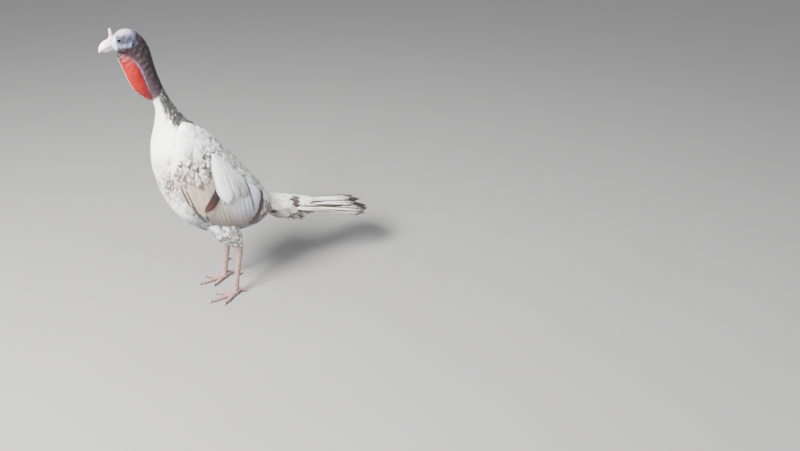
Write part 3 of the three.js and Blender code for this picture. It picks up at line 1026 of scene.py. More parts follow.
@dataclass(frozen=True)
class ScaleFinish:
    """Dry leg scales, greyish pink with dusty edges."""

    name: str = "leg_scales"

    def material(self) -> Material:
        """Painted tint with blotches and a fine dry grain."""
        n = Nodes(self.name, Subsurface_Weight=0.06, Subsurface_Scale=0.003, Specular_IOR_Level=0.4)
        blotch = n.noise(n.place(), 160.0, 4.0)
        height = n.plus(n.noise(n.place(), 1500.0, 2.0), blotch)
        colour = n.painted(n.ease(blotch, 0.4, 0.65, 0.0, 0.7))
        return n.finish(colour, height, 0.0003, n.ease(blotch, 0.3, 0.7, 0.4, 0.62))


@dataclass(frozen=True)
class EyeFinish:
    """A brown iris round a black pupil."""

    name: str = "eye"

    def material(self) -> Material:
        """The painted tint broken by fine rays that run out from the pupil along the vane map."""
        n = Nodes(self.name, Roughness=0.6, Specular_IOR_Level=0.05)
        across, along, _ = n.split(n.add("UVMap", uv_map="Vane"))
        ray = n.noise(n.add("CombineXYZ", n.times(across, 42.0), n.times(along, 3.0), 0.0), 1.0)
        return n.finish(n.painted(n.ease(ray, 0.35, 0.65, 0.0, 0.55)), ray, 0.0002)


@dataclass(frozen=True)
class CorneaFinish:
    """The clear wet front of the eye."""

    name: str = "cornea"

    def material(self) -> Material:
        """Clear and smooth, with the faintest haze."""
        n = Nodes(self.name, Roughness=0.02, IOR=1.17, Transmission_Weight=1.0)
        haze = n.ease(n.noise(n.place(), 300.0, 1.0), 0.3, 0.7)
        return n.finish(n.mix(haze, (1.0, 1.0, 1.0), (0.96, 0.97, 1.0)))


@dataclass(frozen=True)
class FloorFinish:
    """A plain pale studio floor."""

    name: str = "studio_floor"

    def material(self) -> Material:
        """Pale grey with the slightest unevenness."""
        n = Nodes(self.name, Roughness=0.7)
        cloud = n.noise(n.place(), 3.0, 3.0)
        return n.finish(n.mix(cloud, (0.2, 0.192, 0.185), (0.215, 0.207, 0.2)), cloud, 0.0005)


# ---- the skin


@dataclass
class Dewlap:
    """The red fold of throat skin, as an ellipse set on the throat's line of every section."""

    top: float = 15.9
    foot: float = 11.1
    proud: float = 0.026
    sunk: float = 0.02
    half: float = 0.025

    def run(self, station: Array) -> Array:
        """The share of the fold's length, 0 at the jaw and 1 at its foot."""
        return (self.top - station) / (self.top - self.foot)

    def reach(self, station: Array, phi: Array, drop: Array) -> Array:
        """How far the fold stands from the middle of the section.

        The ray at angle phi from straight down meets the ellipse ((r sin phi) / A)^2 +
        ((r cos phi - drop) / B)^2 = 1 at the larger root of a quadratic in r. B is the proud
        depth outside the throat's line and the sunk depth inside it.

        Args:
            station: the body's station.
            phi: the ray's angle from straight down.
            drop: the distance from the section's middle to the throat's line.

        Returns:
            The distance in metres, or 0 where the ray misses the fold.
        """
        t = self.run(station)
        bib = lerp(0.36, 1.0, smoothstep(t, 0.1, 0.65))
        full = np.maximum(np.sin(math.pi * np.clip(0.05 + 0.91 * t, 0, 1)) ** 0.55, 1e-4)
        wide = self.half * bib * full

        def root(depth: Array) -> Array:
            """The larger root, or 0 where there is none."""
            qa = (np.sin(phi) / wide) ** 2 + (np.cos(phi) / depth) ** 2
            qb = -2 * np.cos(phi) * drop / depth**2
            inside = qb * qb - 4 * qa * ((drop / depth) ** 2 - 1)
            return np.where(inside > 0, (-qb + np.sqrt(np.maximum(inside, 0))) / (2 * qa), 0)

        outer = root(self.proud * full * (1 + 0.5 * bump(t, 0.82, 0.24)))
        meets = np.where(outer * np.cos(phi) >= drop, outer, root(self.sunk * full * bib))
        return np.where((t > -0.05) & (t < 1.04), meets, 0)


@dataclass
class Zones:
    """Where each point of the skin lies: station, turn, and its share of dewlap and pale rim."""

    points: Array
    station: Array
    turn: Array
    owned: Array
    rim: Array

    def __post_init__(self) -> None:
        """Notes the way to the back and a soft noise."""
        self.back = np.cos(self.turn)
        self.noise = ripple(self.points, 0.03, 21)


@dataclass
class SkinShell:
    """One skin over head, neck, dewlap, snood, trunk, thighs, wing pads and shanks."""

    body: Body
    dewlap: Dewlap = field(default_factory=Dewlap)
    columns: int = 208
    eye: tuple = (0.226, 0.914)
    ear: tuple = (0.191, 0.899)
    coat: float = 0.011
    blend: float = 0.006

    def grid(self) -> Zones:
        """Rings of the trunk, neck and head with the dewlap blended in.

        Rings are coarse under the coat and finest on the head. Each section is read as a distance
        r from its middle at an angle phi from straight down, and the skin's r is the smooth
        maximum of the body's and the dewlap's. Under the coat it is sunk by the coat's depth.

        Returns:
            The points and their zones.
        """
        rings = np.concatenate([np.linspace(-0.15, 8.5, 64, endpoint=False),
                                np.linspace(8.5, 13.6, 100, endpoint=False), np.linspace(13.6, 19.0, 170)])
        station, turn = turns(rings, self.columns)
        plain = self.body.point(-station, turn, -self.coat * (1 - smoothstep(station, 7.5, 11.5)))
        top, bottom, _ = self.body.section(station)
        middle, down = (top + bottom) / 2, (bottom - top) / 2
        drop = np.linalg.norm(down, axis=-1)
        down = down / drop[..., None]
        x, forward, height = self.body.read(plain)
        d = (forward - middle[..., 0]) * down[..., 0] + (height - middle[..., 1]) * down[..., 1]
        r, phi = np.hypot(x, d), np.arctan2(x, d)
        fold = self.dewlap.reach(station, phi, drop)
        gap = np.clip(self.blend - np.abs(r - fold), 0, None)
        union = np.where(fold > 0, np.maximum(r, fold) + gap**2 / (4 * self.blend), r)
        spot = middle + down * (union * np.cos(phi))[..., None]
        points = self.body.place(union * np.sin(phi), spot[..., 0], spot[..., 1])
        owned = np.where(fold > 0, smoothstep(fold - r, -0.001, 0.006), 0)
        wider = self.dewlap.reach(station, phi * 0.78, drop)
        rim = np.where(wider > 0, smoothstep(wider - r, -0.001, 0.005), 0) * (1 - owned)
        return Zones(points, station, turn, owned, rim)

    def head_relief(self, at: Zones) -> Array:
        """Brow, lore, socket, cheek, ear and gape: each is a Gaussian hill, ring or groove at its
        own place on the side of the head.

        Args:
            at: the points and their zones.

        Returns:
            Metres that they stand over the plain head.
        """
        x, f, z = self.body.read(at.points)
        side = smoothstep(np.abs(x), 0.006, 0.013) * smoothstep(at.station, 14.2, 15.2)
        eye = np.hypot(f - self.eye[0], z - self.eye[1])
        ear = np.hypot((f - self.ear[0]) * 1.15, z - self.ear[1])
        relief = -0.002 * bump(eye, 0, 0.0105) - 0.006 * (1 - smoothstep(eye, 0.004, 0.0058))
        relief += 0.0009 * bump(eye, 0.0098, 0.0017)
        relief += 0.002 * bump(f, 0.221, 0.013) * bump(z, 0.9265, 0.0042)
        relief -= 0.0014 * bump(f, 0.239, 0.005) * bump(z, 0.909, 0.006)
        relief += 0.0022 * bump(f, 0.211, 0.012) * bump(z, 0.892, 0.008)
        relief += 0.0016 * bump(ear, 0.0056, 0.0019) - 0.005 * (1 - smoothstep(ear, 0.0018, 0.0042))
        lip = np.clip((f - 0.214) / 0.026, 0, 1)
        gape = np.hypot(f - lerp(0.214, 0.24, lip), z - lerp(0.8885, 0.8945, lip))
        relief += 0.0008 * bump(gape, 0.0028, 0.0012) - 0.0014 * bump(gape, 0, 0.0011)
        return relief * side

    def pebbling(self, at: Zones) -> tuple[Array, Array]:
        """Folds and caruncles.

        Lumps are rounded cells in (station, turn), fine on the head, coarse on the neck and large
        on the dewlap. Rings of folds cross the back of the neck.

        Args:
            at: the points and their zones.

        Returns:
            Metres of relief, and the lumps' own height from 0 to 1.
        """
        station, owned = at.station, at.owned
        head, bare = smoothstep(station, 14.8, 15.8), smoothstep(station, 10.9, 12.0)
        around, run = at.turn / TURN, self.dewlap.run(station)
        small, middling, large = (pebbles(station * pace, around * cells, seed, cells)
                                  for pace, cells, seed in ((11.0, 40, 3), (7.0, 25, 5), (4.4, 24, 8)))
        _, f, z = self.body.read(at.points)
        calm = smoothstep(np.hypot(f - self.eye[0], z - self.eye[1]), 0.008, 0.016)
        relief = 0.00075 * small * head * lerp(0.35, 1, calm) * (1 - smoothstep(station, 18.2, 18.9))
        relief += 0.0006 * middling * (1 - head) * bare * (1 - owned)
        relief += 0.0009 * (large - 0.4) * owned * lerp(0.4, 1.8, smoothstep(run, 0.75, 0.95))
        fold = np.sin(station * 30 + 3 * ripple(at.points, 0.05, 4))
        relief += 0.0006 * fold * bare * (1 - head) * smoothstep(at.back, -0.3, 0.6)
        relief += 0.0007 * ripple(at.points, 0.022, 9) * bare * (1 - 0.8 * owned)
        relief += 0.0003 * np.sin(station * 9 + 2 * ripple(at.points, 0.04, 2)) * owned
        return relief, lerp(lerp(middling, small, head), large, owned)

    def paint(self, at: Zones, lumps: Array) -> tuple[Array, Array]:
        """The skin's colours, zone by zone from the trunk to the face.

        Args:
            at: the points and their zones.
            lumps: the caruncles' height.

        Returns:
            The tint and the blotches' stain.
        """
        x, f, z = self.body.read(at.points)
        station, noise, back, owned = at.station, at.noise, at.back, at.owned
        bare = smoothstep(station + 0.35 * noise, 9.4, 10.6)
        head = smoothstep(station + 0.3 * noise, 15.0, 16.1)
        head = head * (1 - smoothstep(-back, 0.2, 0.6) * (1 - smoothstep(station + 0.3 * noise, 16.0, 16.8)))
        nape = head * (1 - smoothstep(f + 0.006 * noise, 0.166, 0.19)) * smoothstep(back, -0.5, 0.1)
        crown = smoothstep(station, 15.6, 16.8) * smoothstep(z + 0.003 * noise, 0.922, 0.934)
        eye = np.hypot(f - self.eye[0] + 0.003, (z - self.eye[1]) * 1.25)
        band = head * bump(z + 0.002 * noise, 0.9135, 0.0085)
        band = band * smoothstep(f, 0.176, 0.188) * (1 - smoothstep(f, 0.23, 0.238))
        ear = np.hypot(f - self.ear[0], z - self.ear[1])
        pale = bump(f, 0.219, 0.0085) * bump(z, 0.896, 0.006) + bump(f, 0.2005, 0.0045) * bump(z, 0.9, 0.007)
        t = self.dewlap.run(station)
        red = owned * smoothstep(t + 0.05 * noise, 0.08, 0.36)
        coral, _ = layered(linear(0x94130D), linear(0x94130D),
                           (smoothstep(t + 0.04 * noise, 0.78, 0.98), 0x7C0414, None),
                           (1 - smoothstep(t + 0.05 * noise, 0.2, 0.6), 0x2E1512, None))
        rim = bare * at.rim * smoothstep(t + 0.05 * noise, 0.25, 0.6) * smoothstep(1.0 - t, 0, 0.1)
        edge = bump(x, 0, 0.0028) * (back < 0) * smoothstep(station, 10.6, 11.2)
        edge = edge * (1 - smoothstep(station, 14.7, 15.5))
        return layered(
            linear(0xDCC6B8), linear(0xC9A99A), (bare, 0x33262B, 0x221A1E),
            (bare * smoothstep(back + 0.25 * noise, -0.35, 0.4), 0x2A1E24, 0x1C1418),
            (bare * smoothstep(-back + 0.2 * noise, 0.35, 0.8), 0x4A3135, 0x321F24),
            (head, 0x55566B, 0x33344A), (nape, 0x1C1318, 0x100A0D), (crown, 0xA3969F, 0x857683),
            (band * 0.9, 0x22212E, None), (band * 0.8, None, 0x1A1924),
            (head * bump(eye, 0.0085, 0.0065) * 0.6, 0x262A3C, None),
            (head * bump(ear, 0.009, 0.008) * 0.9, 0x3C4258, None),
            # Darkest in the ear opening: painted shade in the hole.
            (head * (1 - smoothstep(ear, 0.0028, 0.0045)), 0x1E181B, None),
            (head * pale, 0x9C9DB3, None), (head * smoothstep(f, 0.231, 0.239), 0xCBCFD9, 0xA0A7B7),
            # The second row darkens the red where the caruncles are low: painted shade in their furrows.
            (red, coral, 0x8F1214), (red * smoothstep(0.35 - lumps, 0, 0.35) * 0.35, 0x5A0A12, None),
            (0.9 * rim, 0x6E5064, 0x6A4256), (edge * 0.9, 0xEED9DA, None),
            # Darker neck skin where the lumps are low: painted shade in the furrows.
            (bare * (1 - owned) * smoothstep(0.3 - lumps, 0, 0.3) * 0.35, 0x2E2629, None))

    def trunk_and_head(self) -> Shape:
        """The main skin, closed inside the bill by rings that shrink to a point."""
        at = self.grid()
        folds, lumps = self.pebbling(at)
        paints = self.paint(at, lumps)
        points = at.points + normals(at.points) * (folds + self.head_relief(at))[..., None]
        mouth = points[-1]
        centre = mouth.mean(0) + [0, -0.004, 0]
        rims = [lerp(centre, mouth + [0, -ahead, 0], size)
                for size, ahead in ((0.97, 0.0012), (0.86, 0.002), (0.5, 0.002), (0.1, 0.001))]
        tint, stain = (np.concatenate([paint, np.repeat(paint[-1:], len(rims), 0)]) for paint in paints)
        return tube(np.concatenate([points, np.stack(rims)]), tint, stain)

    def snood(self) -> Shape:
        """The fleshy finger over the bill: a tube whose foot flares out into the brow, ringed by
        wrinkles and bent a little forward at the tip."""
        t, turn = turns(np.linspace(0, 1, 40), 32)
        z = lerp(0.912, 0.948, 1 - (1 - t) ** 1.4)
        wide = 0.005 * np.sqrt(np.clip(1 - t**5, 0.02, 1)) * (1 - 0.18 * t)
        wide = wide + 0.006 * bump(z, 0.918, 0.0065) + 0.00035 * np.sin(z * 2600) * (t < 0.97)
        f = 0.2405 + 0.0016 * t * t + wide * 1.1 * np.cos(turn)
        points = self.body.place(wide * np.sin(turn) + 0.001 * t, f, z + 0.0004 * np.sin(3 * turn))
        tint = lerp(linear(0xC4C3CB), linear(0xDDB3B5), smoothstep(t, 0.1, 0.6)[..., None])
        return tube(points, tint, linear(0xC08086))

    def lid(self, centre: Array, side: int) -> Shape:
        """One eye's lids as a soft ring on the ball.

        In polar form about the ball's middle, the ring's section is an ellipse between the
        opening's angle (wider fore and aft) and the socket, thickened by fine creases.

        Args:
            centre: the ball's middle.
            side: 1 for the left eye, -1 for the right.

        Returns:
            The closed ring.
        """
        psi, phi = turns(np.linspace(0, TURN, 22, endpoint=False), 72)
        opening = np.radians(44 + 6 * np.cos(2 * phi) + 2 * np.cos(phi))
        outer = math.radians(88)
        polar = (opening + outer) / 2 - (outer - opening) / 2 * np.cos(psi)
        crease = 0.00016 * np.sin(4 * psi) * (np.cos(psi) > -0.6)
        crease = crease + 0.0001 * np.sin(11 * phi + 3 * np.sin(psi))
        points = centre + polar_points(polar, phi, 0.0064 + 0.00105 * np.sin(psi) + crease, side)
        tint = lerp(linear(0x3E4459), linear(0x888FA3), smoothstep(polar, 0.9, 1.35)[..., None])
        return torus(points, tint.reshape(-1, 3), linear(0x5C6378))

    def loft(self, surface: Surface, inset: float, reach: float, colour: int) -> Shape:
        """A closed solid that lies inside a round surface by the inset, up to the reach."""
        a, b = turns(np.linspace(0.0, reach, 26), 40)
        return tube(surface.point(a, b, -inset), linear(colour))

    def wing_pad(self, wing: Wing) -> Shape:
        """The folded arm under the feathers: a lens between the wing's face and the trunk.

        Args:
            wing: the wing that lies over it.

        Returns:
            The closed lens.
        """
        u, k = turns(np.linspace(0.0, 0.86, 30), 36)
        v = 0.5 - 0.47 * np.cos(k)
        depth = np.where(np.sin(k) > 0, -0.0045, -0.024 - wing.rise(u, v) * 0.6)
        depth = lerp(-0.014, depth, np.abs(np.sin(k)) ** 0.35)
        return tube(wing.point(u, v, depth * (1 - 0.3 * smoothstep(u, 0.6, 0.86))), linear(0xA69F99))


def polar_points(polar: Array, phi: Array, radius: Array, side: int) -> Array:
    """Points about an eye, whose axis looks out to the side, a little forward and up.

    Args:
        polar: the angle from the axis.
        phi: the turn about it, from straight ahead.
        radius: the distance from the middle.
        side: 1 for the left eye, -1 for the right.

    Returns:
        radius * (cos(polar) * axis + sin(polar) * (cos(phi) * fore + sin(phi) * up)).
    """
    axis = np.array([side * 0.955, -0.27, 0.12])
    axis /= np.linalg.norm(axis)
    fore = np.array([0, -1, 0]) - axis * (np.array([0, -1, 0]) @ axis)
    fore /= np.linalg.norm(fore)
    up = np.cross(axis, fore) * side
    lateral = np.cos(phi)[..., None] * fore + np.sin(phi)[..., None] * up
    return radius[..., None] * (np.cos(polar)[..., None] * axis + np.sin(polar)[..., None] * lateral)


# ---- bill and eyes


@dataclass
class Bill:
    """The stout horn bill: an upper half with a hooked tip and nostrils, over a shorter lower one."""

    body: Body
    root: tuple = (0.238, 0.902)
    length: float = 0.044
    wide: float = 0.012
    upper: float = 0.019
    lower: float = 0.017
    hook: float = 0.009

    def half(self, is_upper: bool) -> Shape:
        """One half of the bill.

        Along it (t) the section shrinks as sqrt(1 - t^3.6) and drops as hook * t^2.4. Round it
        the height is its upper or lower depth times the cosine of the turn, the width a sine. The
        culmen is pinched to a ridge, the cutting edge swells a little, and each nostril is an
        oval dent under a flap.

        Args:
            is_upper: whether it is the upper half.

        Returns:
            The closed shape.
        """
        t, turn = turns(rounded(72, 0.75), 72)
        taper = np.sqrt(np.maximum(0.012, 1 - t**3.6))
        c, s = np.cos(turn), np.sin(turn)
        if is_upper:
            length, hook, high, low = self.length, self.hook, self.upper * taper, 0.0015 + 0.004 * t * t
            side = np.sign(s) * np.abs(s) ** lerp(1.0, 1.25, np.clip(c, 0, 1))
            nostril = bump(t, 0.23, 0.085) * bump(c, 0.6, 0.14)
            flap = bump(t, 0.21, 0.1) * bump(c, 0.8, 0.1)
            wide = self.wide * taper * (1 + 0.05 * bump(c, 0.02, 0.16)) * (1 - 0.17 * nostril + 0.05 * flap)
        else:
            length, hook = self.length * 0.88, self.hook * 0.42
            high, low = -0.0004 + 0 * t, self.lower * taper
            side = np.sign(s) * np.abs(s) ** np.where(c > 0, 0.15, 1.0)
            nostril = 0 * t
            wide = self.wide * taper * 0.86
        growth = 0.00006 * np.sin(t * 90 + 4 * ripple(np.stack([t, c, s], -1), 1.5, 6))
        growth = growth * smoothstep(t, 0.15, 0.4)
        drop = hook * t**2.4 + 0.004 * t
        points = self.body.place((wide + growth) * side, self.root[0] + length * t,
                                 self.root[1] - drop + np.where(c > 0, high, low) * c + growth * c)
        base = linear(0xC7C8CE if is_upper else 0xC9C3C0)
        tint = lerp(base, linear(0xE9E3D6), smoothstep(t, 0.25, 0.8)[..., None])
        # The dark tip is the horn's own colour; the nostril dents are darkened as painted shade.
        dark = 0.35 * smoothstep(t, 0.9, 1.0) + 0.8 * nostril * (nostril > 0.3)
        stain = lerp(linear(0x9C9AA2), linear(0xC9BDA6), smoothstep(t, 0.2, 0.7)[..., None])
        return tube(points, lerp(tint, linear(0x8F7F70), dark[..., None]), stain)


@dataclass
class Eye:
    """An eyeball with a dished iris and pupil, and a clear cornea bulging over them."""

    centre: Array
    side: int
    radius: float = 0.0064
    iris: float = 0.8
    pupil: float = 0.36

    def ball(self) -> Shape:
        """A sphere in polar form whose front is pressed into a shallow dish with a deeper pupil:
        the radius falls with the cosine inside the iris."""
        polar, phi = turns(np.linspace(0.02, math.pi - 0.02, 90), 64)
        dish = 1 - smoothstep(polar, self.iris - 0.06, self.iris)
        radius = self.radius - dish * (0.0007 + 0.0011 * np.cos(polar / self.iris * math.pi / 2))
        radius -= 0.0005 * (1 - smoothstep(polar, self.pupil - 0.04, self.pupil + 0.02))
        ring = smoothstep(polar, self.pupil, self.iris)[..., None]
        tint = lerp(linear(0x24120A), linear(0x3E2213), bump(ring, 0.55, 0.4))
        tint = lerp(tint, linear(0x241410), smoothstep(polar, self.iris - 0.08, self.iris + 0.02)[..., None])
        pupil = (1 - smoothstep(polar, self.pupil - 0.02, self.pupil + 0.02))[..., None]
        tint, stain = (lerp(colour, linear(0x050505), pupil) for colour in (tint, linear(0x1A0D07)))
        return tube(self.centre + polar_points(polar, phi, radius, self.side), tint, stain)

    def cornea(self) -> Shape:
        """A thin clear cap: its outer face stands proud by a cosine hill, its inner face follows
        a quarter of a millimetre beneath, and both meet at the rim."""
        k, phi = turns(np.linspace(-1, 1, 49), 64)
        polar = 0.98 * (1 - np.abs(k)) + 0.012
        hill = 0.0007 * np.cos(np.clip(polar / 0.98, 0, 1) * math.pi / 2) ** 1.2
        wall = np.where(k > 0, 0.00028 * (1 - smoothstep(polar, 0.75, 0.98)), 0)
        radius = self.radius + 0.00006 + hill - wall
        return tube(self.centre + polar_points(polar, phi, radius, self.side), np.ones(3))


# ---- legs and feet


@dataclass
class Leg:
    """One leg: thigh, shank, four toes with claws, and the spur."""

    body: Body
    side: int
    apart: float = 0.066
    fore: float = -0.014
    stagger: float = 0.016
    toe: float = 0.0074
    toes: tuple = (("inner", 0.06, -34), ("middle", 0.086, 1), ("outer", 0.066, 36))
    hind: tuple = (0.03, 168)
    claw: float = 0.015

    def __post_init__(self) -> None:
        """Sets the foot's place; the two feet stand a little staggered."""
        self.x = self.apart * self.side
        self.f = self.fore + self.side * self.stagger / 2

    def thigh(self) -> Limb:
        """The feathered thigh, from the hip to the hock."""
        x, f = self.x, self.f
        return Limb(self.body, ((0.66 * x, f + 0.026, 0.335, 0.03, 0.052),
                                (0.96 * x, f + 0.012, 0.272, 0.035, 0.05),
                                (x, f - 0.018, 0.218, 0.023, 0.029), (x, f - 0.034, 0.182, 0.0115, 0.013)))

    def shank(self) -> Limb:
        """The scaled shank, from the hock to the foot."""
        rows = ((-0.034, 0.196, 0.0108, 0.0122), (-0.033, 0.178, 0.0105, 0.0125),
                (-0.03, 0.15, 0.0082, 0.0098), (-0.014, 0.08, 0.0074, 0.0088),
                (-0.002, 0.024, 0.0084, 0.01), (0.004, 0.01, 0.0088, 0.0088))
        return Limb(self.body, [(self.x, self.f + ahead, *rest) for ahead, *rest in rows])

    def ray(self, splay: float, rows: Sequence[tuple], tall: float = 1.0) -> Limb:
        """A limb that runs out from the foot.

        Args:
            splay: degrees from straight ahead; behind the foot the limb starts a little aft.
            rows: distance, height and half width at each knot.
            tall: half the height as a share of half the width.

        Returns:
            The limb.
        """
        way = math.radians(splay) * self.side
        narrow, start = (0.9, -0.006) if splay > 90 else (1.0, 0.002)
        x, f = narrow * math.sin(way), math.cos(way)
        line = [(self.x + x * reach, self.f + start + f * reach, z, k, k * tall) for reach, z, k in rows]
        return Limb(self.body, line, (math.cos(way), -math.sin(way), 0.0))

    def digit(self, length: float, splay: float) -> Limb:
        """A front toe, from the ball of the foot to the claw.

        Args:
            length: of the toe without its claw, in metres.
            splay: degrees from straight ahead.

        Returns:
            The limb.
        """
        r = self.toe
        return self.ray(splay, ((-0.004, 0.01, r), (0.2 * length, r, r * 1.06),
                                (0.45 * length, r - 0.0014, r * 0.92), (0.72 * length, r - 0.0018, r * 0.88),
                                (length, r - 0.0024, r * 0.62)))

    def hind_toe(self) -> Limb:
        """The short raised hind toe."""
        length, splay = self.hind
        rows = ((-0.006, 0.024, 0.0054), (0.4 * length, 0.017, 0.005), (length, 0.0066, 0.004))
        return self.ray(splay, rows)

    def flesh(self, points: Array) -> Shape:
        """Bare foot skin through a grid of points, pressed flat where it meets the floor."""
        points[..., 2] = np.maximum(points[..., 2], 0.0002)
        return tube(points, linear(0x9A7B74), linear(0x684E49))

    def skin(self) -> list[Shape]:
        """The bare skin of shank, toes and the ball of the foot; a limb swells at each of its
        joints by a cosine, and the ball is an ellipsoid."""
        limbs = [(self.shank(), 60, 1), (self.hind_toe(), 24, 1)]
        limbs += [(self.digit(length, splay), 44, 3) for _, length, splay in self.toes]
        parts = []
        for limb, rings, joints in limbs:
            a, b = turns(np.linspace(0, 1, rings), 32)
            swell = 0.0005 * np.cos(a * math.pi * 2 * joints) + 0.0002 * np.sin(a * 160)
            parts.append(self.flesh(limb.point(a, b, swell - 0.0009)))
        a, b = turns(np.linspace(0.03, math.pi - 0.03, 20), 32)
        ball = self.body.place(self.x + 0.0115 * np.sin(a) * np.cos(b),
                               self.f + 0.002 + 0.0125 * np.sin(a) * np.sin(b), 0.0085 + 0.0085 * np.cos(a))
        return parts + [self.flesh(ball)]

    def atlas(self, a: Array, b: Array) -> Array:
        """The bake place of a plate's root: along the limb, and round it."""
        return np.stack([0.05 + 0.9 * a, 0.05 + 0.13 * np.mod(b, TURN)], -1)

    def plates(self, limb: Limb, seed: int, span: tuple, turned: tuple, pitch: tuple, size: tuple) -> Shape:
        """Rows of horny plates on part of a limb.

        Args:
            limb: what they lie on.
            seed: for their jitter.
            span: first and last along.
            turned: first and last turn.
            pitch: metres between rows and between neighbours.
            size: length and width of a plate in metres.

        Returns:
            Every plate as a thin closed shield, arched in the middle and sunk at its edges.
        """
        a, b, _ = lay_rows(limb, *span, pitch, turned, seed, 0.04)
        rng = np.random.default_rng(seed + 1)
        n = len(a)
        fade = 0.8 + 0.25 * rng.uniform(size=(n, 1))
        return Feathers(
            limb, a, b, length=np.full(n, size[0]), width=size[1] * rng.uniform(0.94, 1.04, n), low=-0.0007,
            high=0.0001, camber=0.16, outline=Outline.PLATE, ragged=0.0, seed=seed,
            tint=linear(0xA98880) * fade, tip=linear(0x957870) * fade, stain=linear(0x6E544D),
        ).grown(6, 5, self.atlas)

    def scales(self) -> Shape:
        """Broad shields down the front of shank and toes, and small ones round the back."""
        shank, seed = self.shank(), 40 + self.side
        front, flank = (-1.0, 1.0), ((0.0036, 0.0034), (0.0042, 0.0037))
        rows = [(shank, seed, (0.06, 0.97), (-0.95, 0.95), (0.0088, 0.008), (0.0108, 0.0088)),
                (shank, seed + 2, (0.05, 0.97), (0.95, TURN - 0.95), (0.0052, 0.0046), (0.0062, 0.005))]
        for k, (_, length, splay) in enumerate(self.toes):
            toe = self.digit(length, splay)
            rows += [(toe, seed + 4 + k, (0.1, 0.93), front, (0.0052, 0.013), (0.0066, 0.0142)),
                     (toe, seed + 10 + k, (0.12, 0.94), (1.0, 1.9), *flank),
                     (toe, seed + 8 + k, (0.12, 0.94), (-1.9, -1.0), *flank)]
        rows.append((self.hind_toe(), seed + 20, (0.15, 0.92), front, (0.0046, 0.009), (0.0056, 0.0096)))
        parts = [self.plates(*row) for row in rows]
        made = joined(parts)
        made.points[:, 2] = np.maximum(made.points[:, 2], 0.0001)
        return made

    def horn(self, limb: Limb) -> Shape:
        """A claw or spur, flattened a little beneath.

        Args:
            limb: the tapering limb that it follows.

        Returns:
            The closed shape, paler towards its tip.
        """
        a, b = turns(np.linspace(0, 1, 26), 20)
        points = limb.point(a, b, -0.0006 * np.clip(-np.cos(b), 0, 1) * (1 - a))
        points[..., 2] = np.maximum(points[..., 2], 0.0003)
        tint = lerp(linear(0x62544C), linear(0xC2B5A3), smoothstep(a, 0.1, 0.9)[..., None])
        return tube(points, tint, linear(0x4A3F39))

    def claws(self, name: str) -> dict[str, Shape]:
        """Each claw and the spur.

        Args:
            name: the leg's name.

        Returns:
            The shapes by the nodes that they stand for.
        """
        r, x, f, s = self.toe, self.x, self.f, self.side
        made = {}
        for toe, length, splay in self.toes:
            rows = ((length - 0.004, r - 0.0014, 0.0036), (length + 0.0035, r - 0.0004, 0.0033),
                    (length + 0.0095, r - 0.0022, 0.0021), (length + self.claw, 0.0014, 0.0005))
            made[f"claw_{name}_{toe}"] = self.horn(self.ray(splay, rows, 1.15))
        length, splay = self.hind
        rows = ((length - 0.004, 0.007, 0.0033), (length + 0.005, 0.005, 0.0024),
                (length + 0.012, 0.0016, 0.0005))
        made[f"claw_{name}_hind"] = self.horn(self.ray(splay, rows, 1.1))
        rows = ((0.003, 0.018, 0.072, 0.005, 0.0055), (0.0035, 0.028, 0.072, 0.0044, 0.0046),
                (0.004, 0.036, 0.0735, 0.003, 0.0032), (0.004, 0.041, 0.0755, 0.0008, 0.0009))
        line = [(x - inner * s, f - aft, *rest) for inner, aft, *rest in rows]
        made[f"spur_{name}"] = self.horn(Limb(self.body, line))
        return made


# ---- the coat


